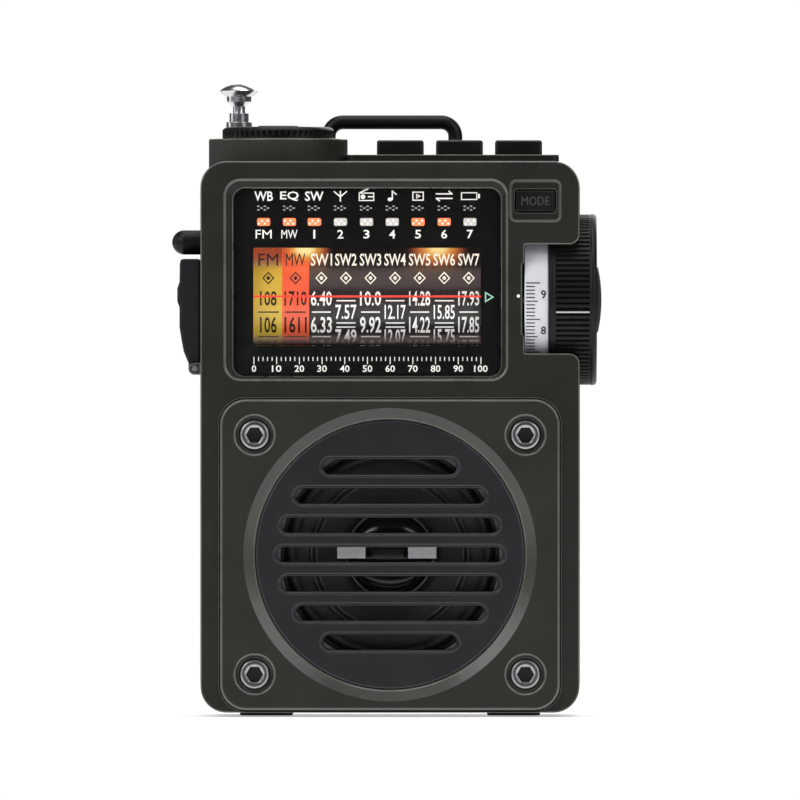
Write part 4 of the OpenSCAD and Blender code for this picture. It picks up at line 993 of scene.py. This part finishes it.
class RADIO_OT_window(bpy.types.Operator):
    """Make the window's pane, mask printing, lamps and index marks"""

    bl_idname = "radio.window"
    bl_label = "Window"

    def execute(self, context):
        depth = context.scene.radio_sizes.ink_depth
        low, high = BOX["window_lens"]
        pane = bmesh.new()
        bar(pane, (low.x, high.x), (low.y, high.y - 0.1 * MM), (low.z, high.z))
        rounded(pane, [e for e in pane.edges if runs_back(e)], 1.75 * MM, 8)
        brim = [e for e in pane.edges if all(abs(v.co.y - low.y) < MERGE_SPUN for v in e.verts)]
        rounded(pane, brim, 0.22 * MM, 3)
        piece("window_pane", pane, "housing", "pane", ["window_lens"], 30)

        face = BOX["scale_mask"][0].y
        marks = bmesh.new()
        icon_row(marks, face, depth)
        for words, x in zip(("FM", "MW", "1", "2", "3", "4", "5", "6", "7"), ICON_X):
            wide = 2.5 if len(words) > 1 else 0.3 if words == "1" else 0.95
            lettering(marks, words, x, BAND_Z, wide * MM, 1.35 * MM, face, depth)
        logging_row(marks, face, depth)
        piece("window_marks", marks, "housing", "white_ink", (), 30)

        dots = bmesh.new()
        for x in ICON_X:
            for i, lift in enumerate((0.28, 0.0, -0.28)):
                for j in range(i % 2, 4, 2):
                    bar(dots, (x + (j - 2) * 0.5 * MM, x + (j - 1.3) * 0.5 * MM), (face - depth, face),
                        (DASH_Z + (lift - 0.1) * MM, DASH_Z + (lift + 0.1) * MM))
        piece("window_small_marks", dots, "housing", "dim_ink", (), 30)

        lamps, specks = bmesh.new(), bmesh.new()
        for i, x in enumerate(ICON_X):
            verts = bar(lamps, (x - 1.0 * MM, x + 1.0 * MM), (face - depth, face),
                        (LAMP_Z - 0.6 * MM, LAMP_Z + 0.6 * MM), 0 if i in RED_LAMPS else 1)
            corners = [e for e in lamps.edges if e.verts[0] in verts and e.verts[1] in verts and runs_back(e)]
            rounded(lamps, corners, 0.25 * MM, 3)
            for j in range(4):
                left = x + (0.44 * j - 0.85) * MM
                foot = LAMP_Z + (0.03 if (i + j) % 2 else -0.42) * MM
                bar(specks, (left, left + 0.3 * MM), (face - 1.9 * depth, face - depth),
                    (foot, foot + 0.32 * MM))
        piece("window_lamps", lamps, "housing", ["red_lamp", "pale_lamp"], (), 30)
        piece("window_lamp_specks", specks, "housing", "white_ink", (), 30)

        arrow = bmesh.new()
        outline(arrow, 3, ARROW_X, ARROW_Z, 1.9 * MM, 2.0 * MM, 0.2 * MM, face, depth, math.radians(-90))
        piece("window_arrow", arrow, "housing", "green_ink", (), 30)

        dot, shell_face = bmesh.new(), BOX["front_shell"][0].y
        outline(dot, 16, DOT_X, DOT_Z, 0.5 * MM, 0.5 * MM, 0.1 * MM, shell_face, depth, filled=True)
        piece("index_dot", dot, "housing", "white_ink", (), 30)
        return {"FINISHED"}


def column_place(column):
    """The middle and width of one of the scale's columns."""
    left, right = COLUMN_EDGES[column], COLUMN_EDGES[column + 1]
    return (left + right) / 2, right - left


def drum_column(shape, column, radius, depth):
    """One column of the drum's numbers, as flat printing: ten rows with a rule, or two, between them."""
    start, step, places = DRUM_COLUMNS[column]
    x, wide = column_place(column)
    rule_half, number_wide, digit_wide = wide * 0.36, wide * 0.86, 0.86 * MM
    pitch, top = ROW_TURN * radius, arc_length(DIAL_Z + 0.15 * MM, radius)
    offset = column in OFFSET_COLUMNS
    rules = (-RULE_GAP, RULE_GAP) if offset else (0.0,)
    first = top - 0.5 * pitch if offset else top
    heights = [top + gap * pitch for gap in rules] if offset else []
    for row in range(10):
        at = first - row * pitch
        words = ("%.*f" % (places, start + step * row)).replace("10.00", "10.0")
        tall = (2.3 if row == 0 else 2.8) * MM
        lettering(shape, words, x, at, min(number_wide, len(words) * digit_wide), tall, 0.0, depth)
        heights += [at + (gap - 0.5) * pitch for gap in rules]
    for height in heights:
        stroke(shape, (x - rule_half, height), (x + rule_half, height), 0.2 * MM, 0.0, depth)


class RADIO_OT_scale(bpy.types.Operator):
    """Make the drum's film and numbers, the film over it that paints the lamps' glow and the shade at its
    foot, and its band labels
    """

    bl_idname = "radio.scale"
    bl_label = "Scale"

    def execute(self, context):
        depth = context.scene.radio_sizes.ink_depth
        left, long, radius = BOX["band_drum"][0].x, size_of("band_drum")[0], DRUM_R + 0.04 * MM
        inside = DRUM_R - 0.3 * MM
        sleeve = spun([(0.0, inside), (0.0, radius), (long, radius), (long, inside)], (1, 0, 0),
                      (left, DIAL_Y, DIAL_Z), 128)
        piece("drum_film", sleeve, "tuning_dial", "drum", (), 30)

        light, dark = bmesh.new(), bmesh.new()
        for column in range(len(DRUM_COLUMNS)):
            drum_column(dark if column < 2 else light, column, radius, depth)
        for shape, shade, look in ((light, "light", "white_ink"), (dark, "dark", "dark_ink")):
            wrap_round_dial(shape, radius, 0.75 * MM)
            piece("drum_numbers_" + shade, shape, "tuning_dial", look, (), 40)

        # A sheet whose colour and cover paint the lamps' glow and the shade at the drum's foot
        film, middle = bmesh.new(), middle_of("scale_mask")[1]
        bar(film, (COLUMN_EDGES[0] - 0.2 * MM, COLUMN_EDGES[9] - 0.05 * MM), (middle, middle + 0.05 * MM),
            (FILM_FOOT, FILM_FOOT + FILM_TALL))
        piece("scale_painted_glow_shade_film", film, "housing", "film", (), 30)

        labels = bmesh.new()
        for column in range(len(DRUM_COLUMNS)):
            x, wide = column_place(column)
            words, shade, share = "SW" + str(column - 1), 0, 0.88
            if column < 2:
                words, shade, share = ("FM", "MW")[column], 1, 0.72
            lettering(labels, words, x, LABEL_Z, wide * share, 1.9 * MM, middle, depth, shade)
            outline(labels, 4, x, DIAMOND_Z, 1.9 * MM, 2.0 * MM, 0.18 * MM, middle, depth, 0.0, shade)
            outline(labels, 12, x, DIAMOND_Z, 0.55 * MM, 0.6 * MM, 0.3 * MM, middle, depth, 0.0, shade,
                    column % 2 == 1)
        piece("scale_labels", labels, "housing", ["cream_ink", "dark_ink"], (), 30)

        behind = BOX["scale_mask"][1].y + 0.45 * MM
        for side, x, power in (("left", -14.0 * MM, 0.00016), ("right", 6.5 * MM, 0.00012)):
            place, size = (x, behind, 73.1 * MM), (8 * MM, 0.5 * MM)
            lamp = area_light("scale_light_" + side, place, power, size, (1.0, 0.52, 0.18))
            lamp.rotation_euler = (math.radians(18), 0, 0)
        return {"FINISHED"}


def groove(shape, centre, axis, ribs, band, inner, depth):
    """Cuts narrow grooves round a spun shape between two places along its axis, outside an inner radius."""
    first, second = (1, 2) if axis == 0 else (0, 1)
    for vert in shape.verts:
        a, b = vert.co[first] - centre[first], vert.co[second] - centre[second]
        out = math.hypot(a, b)
        if band[0] < vert.co[axis] < band[1] and out > inner:
            turn = round(math.atan2(b, a) / math.tau * ribs * len(RIB)) % len(RIB)
            shrink = (out - depth * RIB[turn]) / out
            vert.co[first], vert.co[second] = centre[first] + a * shrink, centre[second] + b * shrink


class RADIO_OT_dial(bpy.types.Operator):
    """Make the logging ring, its scale and the ribbed tuning knob"""

    bl_idname = "radio.dial"
    bl_label = "Tuning dial"

    def execute(self, context):
        sizes = context.scene.radio_sizes
        dressed("logging_ring", "dial", 0.16 * MM, 2)
        left, marks, depth = BOX["logging_ring"][0].x, bmesh.new(), sizes.ink_depth
        zero, step = math.radians(11.4) * RING_R, math.radians(2.55) * RING_R
        whole, half, tenth = 2.35 * MM, 1.95 * MM, 1.55 * MM
        for i in range(101):
            end = whole if i % 10 == 0 else half if i % 5 == 0 else tenth
            height = zero - i * step
            stroke(marks, (left + 0.35 * MM, height), (left + end, height), 0.17 * MM, 0.0, depth)
        for i in range(10):
            height = zero - (10 * i + 3.15) * step
            lettering(marks, str(9 - i), left + 2.95 * MM, height, 0.82 * MM, 1.35 * MM, 0.0, depth)
        wrap_round_dial(marks, RING_R, CUT_STEP)
        piece("logging_scale", marks, "tuning_dial", "dial_ink", (), 40)

        start, end, r = BOX["logging_ring"][1].x, BOX["tuning_knob"][1].x, KNOB_R
        wide, rim, lip, bed, hub, dish = end - start, 0.85 * MM, 0.3 * MM, r - 0.05 * MM, 4.6 * MM, 0.35 * MM
        rib_loops = [at * MM for at in (0.28, 0.34, 0.5)]
        profile = [(0.0, 6.0 * MM), (0.0, r - lip), (lip * 0.3, r - lip * 0.3), (lip, r), (rim, r),
                   (rim + 0.08 * MM, r - 0.06 * MM)]
        profile += [(rim + at, bed) for at in rib_loops]
        profile += [(wide - rim - at, bed) for at in reversed(rib_loops)]
        profile += [(wide - rim - 0.08 * MM, r - 0.06 * MM), (wide - rim, r), (wide - 0.45 * MM, r),
                    (wide - 0.15 * MM, r - 0.15 * MM), (wide, r - 0.5 * MM), (wide, 9.4 * MM),
                    (wide - dish, 9.1 * MM), (wide - dish, 5.2 * MM), (wide - dish, hub), (0.5 * MM, hub)]
        centre, inset = (start, DIAL_Y, DIAL_Z), rim + 0.3 * MM
        knob = spun(profile, (1, 0, 0), centre, KNOB_RIBS * len(RIB))
        groove(knob, centre, 0, KNOB_RIBS, (start + inset, end - inset), r - 0.3 * MM, sizes.rib_depth)
        piece("ribbed_knob", knob, "tuning_dial", "knob", ["tuning_knob"], 50)
        dressed("knob_cap", "knob", 0.12 * MM, 2)

        line, height, inset = bmesh.new(), arc_length(KNOB_LINE_Z, r), rim + 0.4 * MM
        stroke(line, (start + inset, height), (end - inset, height), 0.2 * MM, 0.06 * MM, 0.3 * MM)
        wrap_round_dial(line, r, CUT_STEP)
        piece("knob_index_line", line, "tuning_dial", "dim_ink", (), 40)
        return {"FINISHED"}


class RADIO_OT_controls(bpy.types.Operator):
    """Round the keys and the volume dial"""

    bl_idname = "radio.controls"
    bl_label = "Keys and volume"

    def execute(self, context):
        sizes = context.scene.radio_sizes
        for node in ("top_key_left", "top_key_middle", "top_key_right"):
            low, high = BOX[node]
            points = [v.co for v in NODES[node].data.vertices]
            body = [p for p in points if high.z - 0.5 * MM < p.z < high.z - 0.3 * MM]
            x, y = ((min(p[axis] for p in body), max(p[axis] for p in body)) for axis in (0, 1))
            key = bmesh.new()
            bar(key, x, y, (low.z, high.z))
            brim = [e for e in key.edges if any(v.co.z > low.z + MERGE_SPUN for v in e.verts)]
            rounded(key, brim, sizes.key_edge, 4)
            flange_top = max(p.z for p in points if p.z < high.z - 1.0 * MM)
            bar(key, (low.x, high.x), (low.y, high.y), (low.z, flange_top))
            piece(node + "_skin", key, BODY_OF[node], "key", [node], 40)
        dressed("mode_key", "key", 0.14 * MM, 2)
        x, _, z = middle_of("mode_key")
        word = bmesh.new()
        lettering(word, "MODE", x, z, 4.3 * MM, 1.35 * MM, BOX["mode_key"][0].y, 0.03 * MM)
        piece("mode_key_word", word, "mode_button", "faint_ink", (), 30)

        low, high = BOX["volume_knob"]
        x, y, _ = middle_of("volume_knob")
        wide, _, tall = size_of("volume_knob")
        centre, r, bed, seat = (x, y, low.z), wide / 2, wide / 2 - 0.03 * MM, 1.0 * MM
        profile = [(0.0, seat), (0.0, r - 0.25 * MM), (0.2 * MM, r), (0.45 * MM, r), (0.5 * MM, bed),
                   (0.62 * MM, bed), (tall - 0.95 * MM, bed), (tall - 0.83 * MM, bed), (tall - 0.78 * MM, r),
                   (tall - 0.6 * MM, r - 0.05 * MM), (tall - 0.3 * MM, r - 0.45 * MM),
                   (tall - 0.2 * MM, r - 0.8 * MM), (tall - 0.2 * MM, 3.3 * MM), (tall, 3.1 * MM),
                   (tall, 0.0), (1.6 * MM, 0.0), (1.6 * MM, seat)]
        dial = spun(profile, (0, 0, 1), centre, VOLUME_RIBS * len(RIB))
        groove(dial, centre, 2, VOLUME_RIBS, (low.z + 0.55 * MM, high.z - 0.88 * MM), r - 0.3 * MM, 0.3 * MM)
        piece("ribbed_volume_dial", dial, "volume_dial", "knob", ["volume_knob"], 40)
        return {"FINISHED"}


class RADIO_OT_antenna(bpy.types.Operator):
    """Make the antenna's tube and three drawn sections with their tip"""

    bl_idname = "radio.antenna"
    bl_label = "Antenna"

    def execute(self, context):
        x, y, _ = middle_of("antenna_stage_3")
        wide, _, tall = size_of("antenna_stage_3")
        rod, tip = 1.1 * MM, wide / 2
        # How far below the top, in mm, and the radius there
        head = ((6.2, rod), (5.7, rod * 0.86), (3.6, rod * 0.86), (3.2, rod * 1.25), (2.9, rod * 1.7),
                (2.1, tip * 0.66), (1.45, tip * 0.96), (1.2, tip), (0.95, tip * 0.93), (0.55, tip * 0.7),
                (0.2, tip * 0.42), (0.0, tip * 0.2))
        outside = [(tall - down * MM, radius) for down, radius in head]
        profile = [(0.0, 0.0), (0.0, rod)] + outside + [(tall, 0.0)]
        stem = spun(profile, (0, 0, 1), (x, y, BOX["antenna_stage_3"][0].z), 48)
        piece("antenna_tip_rod", stem, "antenna_upper", "chrome", ["antenna_stage_3"], 38)
        for node, place in (("antenna_stage_1", "lower"), ("antenna_stage_2", "middle")):
            dressed(node, "chrome", 0.07 * MM, 2, name="antenna_rod_" + place)
        dressed("antenna_tube", "black", 0.18 * MM, 2)
        return {"FINISHED"}


class RADIO_OT_fittings(bpy.types.Operator):
    """Smooth the bail, and round its pins, the strap post, port cover, sockets and battery door"""

    bl_idname = "radio.fittings"
    bl_label = "Fittings"

    def execute(self, context):
        edge = context.scene.radio_sizes.edge
        dressed("carry_bail", "black", 0.0)
        dressed("bail_pins", "steel", 0.05 * MM, 2)
        dressed("strap_post", "black", 0.12 * MM, 2)
        dressed("port_cover", "rubber", 0.4 * MM, 3)
        # The door's rim finish is a painted highlight on its edges
        dressed("battery_door", "housing", edge, 2, rim="rim", clamp=True, sharp=14)
        dressed("headphone_jack", "parts", 0.1 * MM, 2)
        dressed("usb_socket", "steel", 0.08 * MM, 2)
        return {"FINISHED"}


class RADIO_OT_inside(bpy.types.Operator):
    """Give finishes to the pieces inside the housing"""

    bl_idname = "radio.inside"
    bl_label = "Inside"

    def execute(self, context):
        give_looks({
            "speaker_basket": "dark_steel", "speaker_magnet": "steel", "scale_mask": "mask",
            "pointer_line": "red_ink", "band_drum": "black", "tuning_shaft": "steel", "tuning_pot": "steel",
            "tuning_frame": "black", "shaft_bush": "brass", "volume_shaft": "steel", "volume_pot": "steel",
            "key_board": "board", "key_switches": "parts", "front_board": "board",
            "light_guides": "pale_lamp", "mode_switch": "parts", "scale_lamps": "lamp",
            "main_board": "board", "board_parts": "parts",
            "battery": "battery", "cover_pin": "steel", "card_slot": "steel", "port_board": "board",
            "ferrite_rod": "ferrite", "ferrite_coil": "copper",
        })
        return {"FINISHED"}


class RADIO_OT_stage(bpy.types.Operator):
    """Lay the floor and set the lights and camera"""

    bl_idname = "radio.stage"
    bl_label = "Stage"

    def execute(self, context):
        settings = context.scene.radio_stage
        floor = bmesh.new()
        bmesh.ops.create_circle(floor, cap_ends=True, segments=96, radius=FLOOR_R)
        bmesh.ops.translate(floor, verts=floor.verts, vec=(0, 0, -FLOOR_DROP))
        mesh = bpy.data.meshes.new("floor")
        floor.to_mesh(mesh)
        floor.free()
        base = bpy.data.objects.new("floor", mesh)
        context.scene.collection.objects.link(base)
        material, _, shader = blank_material("PaleFloor")
        preset(shader, Base_Color=(0.92, 0.92, 0.92, 1.0), Roughness=0.9, Emission_Color=(1.0, 1.0, 1.0, 1.0),
               Emission_Strength=0.45)
        mesh.materials.append(material)

        world = bpy.data.worlds.new("Studio")
        context.scene.world = world
        world.use_nodes = True
        tree = world.node_tree
        seen, lit = tree.nodes["Background"], tree.nodes.new("ShaderNodeBackground")
        preset(seen, Color=(1.0, 1.0, 1.0, 1.0))
        preset(lit, Color=(0.96, 0.98, 1.0, 1.0), Strength=0.1)
        path, mix = tree.nodes.new("ShaderNodeLightPath"), tree.nodes.new("ShaderNodeMixShader")
        tree.links.new(path.outputs["Is Camera Ray"], mix.inputs["Fac"])
        tree.links.new(lit.outputs[0], mix.inputs[1])
        tree.links.new(seen.outputs[0], mix.inputs[2])
        tree.links.new(mix.outputs[0], tree.nodes["World Output"].inputs["Surface"])

        key, fill = settings.key_power, settings.fill_power
        lights = (
            ("key_light", (-0.36, -0.36, 0.34), key, (0.28, 0.30)),
            ("fill_light", (0.38, -0.36, 0.30), fill, (0.28, 0.34)),
            ("top_light", (0.05, 0.06, 0.52), key * 0.75, (0.42, 0.20)),
            ("left_light", (-0.48, 0.05, 0.16), fill * 0.4, (0.16, 0.42)),
            ("back_light", (0.12, 0.48, 0.28), fill, (0.42, 0.30)),
            ("edge_light", (-0.06, -0.20, 0.62), key, (0.50, 0.06)),
        )
        for name, place, power, size in lights:
            aim = Vector((0, 0, AIM_Z)) - Vector(place)
            area_light(name, place, power, size).rotation_euler = aim.to_track_quat("-Z", "Y").to_euler()

        camera = bpy.data.cameras.new("front_camera")
        camera.lens, camera.sensor_width = settings.lens, 36.0
        camera.dof.use_dof = False
        camera.clip_start, camera.clip_end = 0.1, 20.0
        distance = settings.view_width * settings.lens / camera.sensor_width
        holder = bpy.data.objects.new("front_camera", camera)
        holder.location = (VIEW_X, BOX["speaker_panel"][0].y - distance, VIEW_Z)
        holder.rotation_euler = (math.radians(90), 0, 0)
        context.scene.collection.objects.link(holder)
        context.scene.camera = holder
        context.scene.view_settings.view_transform = "Standard"
        context.scene.view_settings.look = "None"
        return {"FINISHED"}


class RADIO_PT_build(bpy.types.Panel):
    """Lists the steps that build the radio's looks"""

    bl_idname = "RADIO_PT_build"
    bl_label = "Pocket radio"
    bl_space_type = "VIEW_3D"
    bl_region_type = "UI"
    bl_category = "Radio"

    def draw(self, context):
        for step in STEPS:
            self.layout.operator("radio." + step)
        for settings in (context.scene.radio_finish, context.scene.radio_sizes, context.scene.radio_stage):
            for label in settings.bl_rna.properties.keys():
                if label not in ("rna_type", "name"):
                    self.layout.prop(settings, label)


STEPS = ("housing", "screws", "speaker", "window", "scale", "dial", "controls", "antenna", "fittings",
         "inside", "stage")
CLASSES = (FinishSettings, SizeSettings, StageSettings, RADIO_OT_housing, RADIO_OT_screws, RADIO_OT_speaker,
           RADIO_OT_window, RADIO_OT_scale, RADIO_OT_dial, RADIO_OT_controls, RADIO_OT_antenna,
           RADIO_OT_fittings, RADIO_OT_inside, RADIO_OT_stage, RADIO_PT_build)


def register():
    """Adds the classes and the scene's settings."""
    for kind in CLASSES:
        bpy.utils.register_class(kind)
    bpy.types.Scene.radio_finish = bpy.props.PointerProperty(type=FinishSettings)
    bpy.types.Scene.radio_sizes = bpy.props.PointerProperty(type=SizeSettings)
    bpy.types.Scene.radio_stage = bpy.props.PointerProperty(type=StageSettings)


def unregister():
    """Takes the classes and settings away again."""
    for label in ("radio_finish", "radio_sizes", "radio_stage"):
        delattr(bpy.types.Scene, label)
    for kind in reversed(CLASSES):
        bpy.utils.unregister_class(kind)


def main():
    """Builds every piece, then the stage."""
    register()
    for step in STEPS:
        getattr(bpy.ops.radio, step)()
    bpy.context.view_layer.update()


if __name__ == "__main__":
    main()
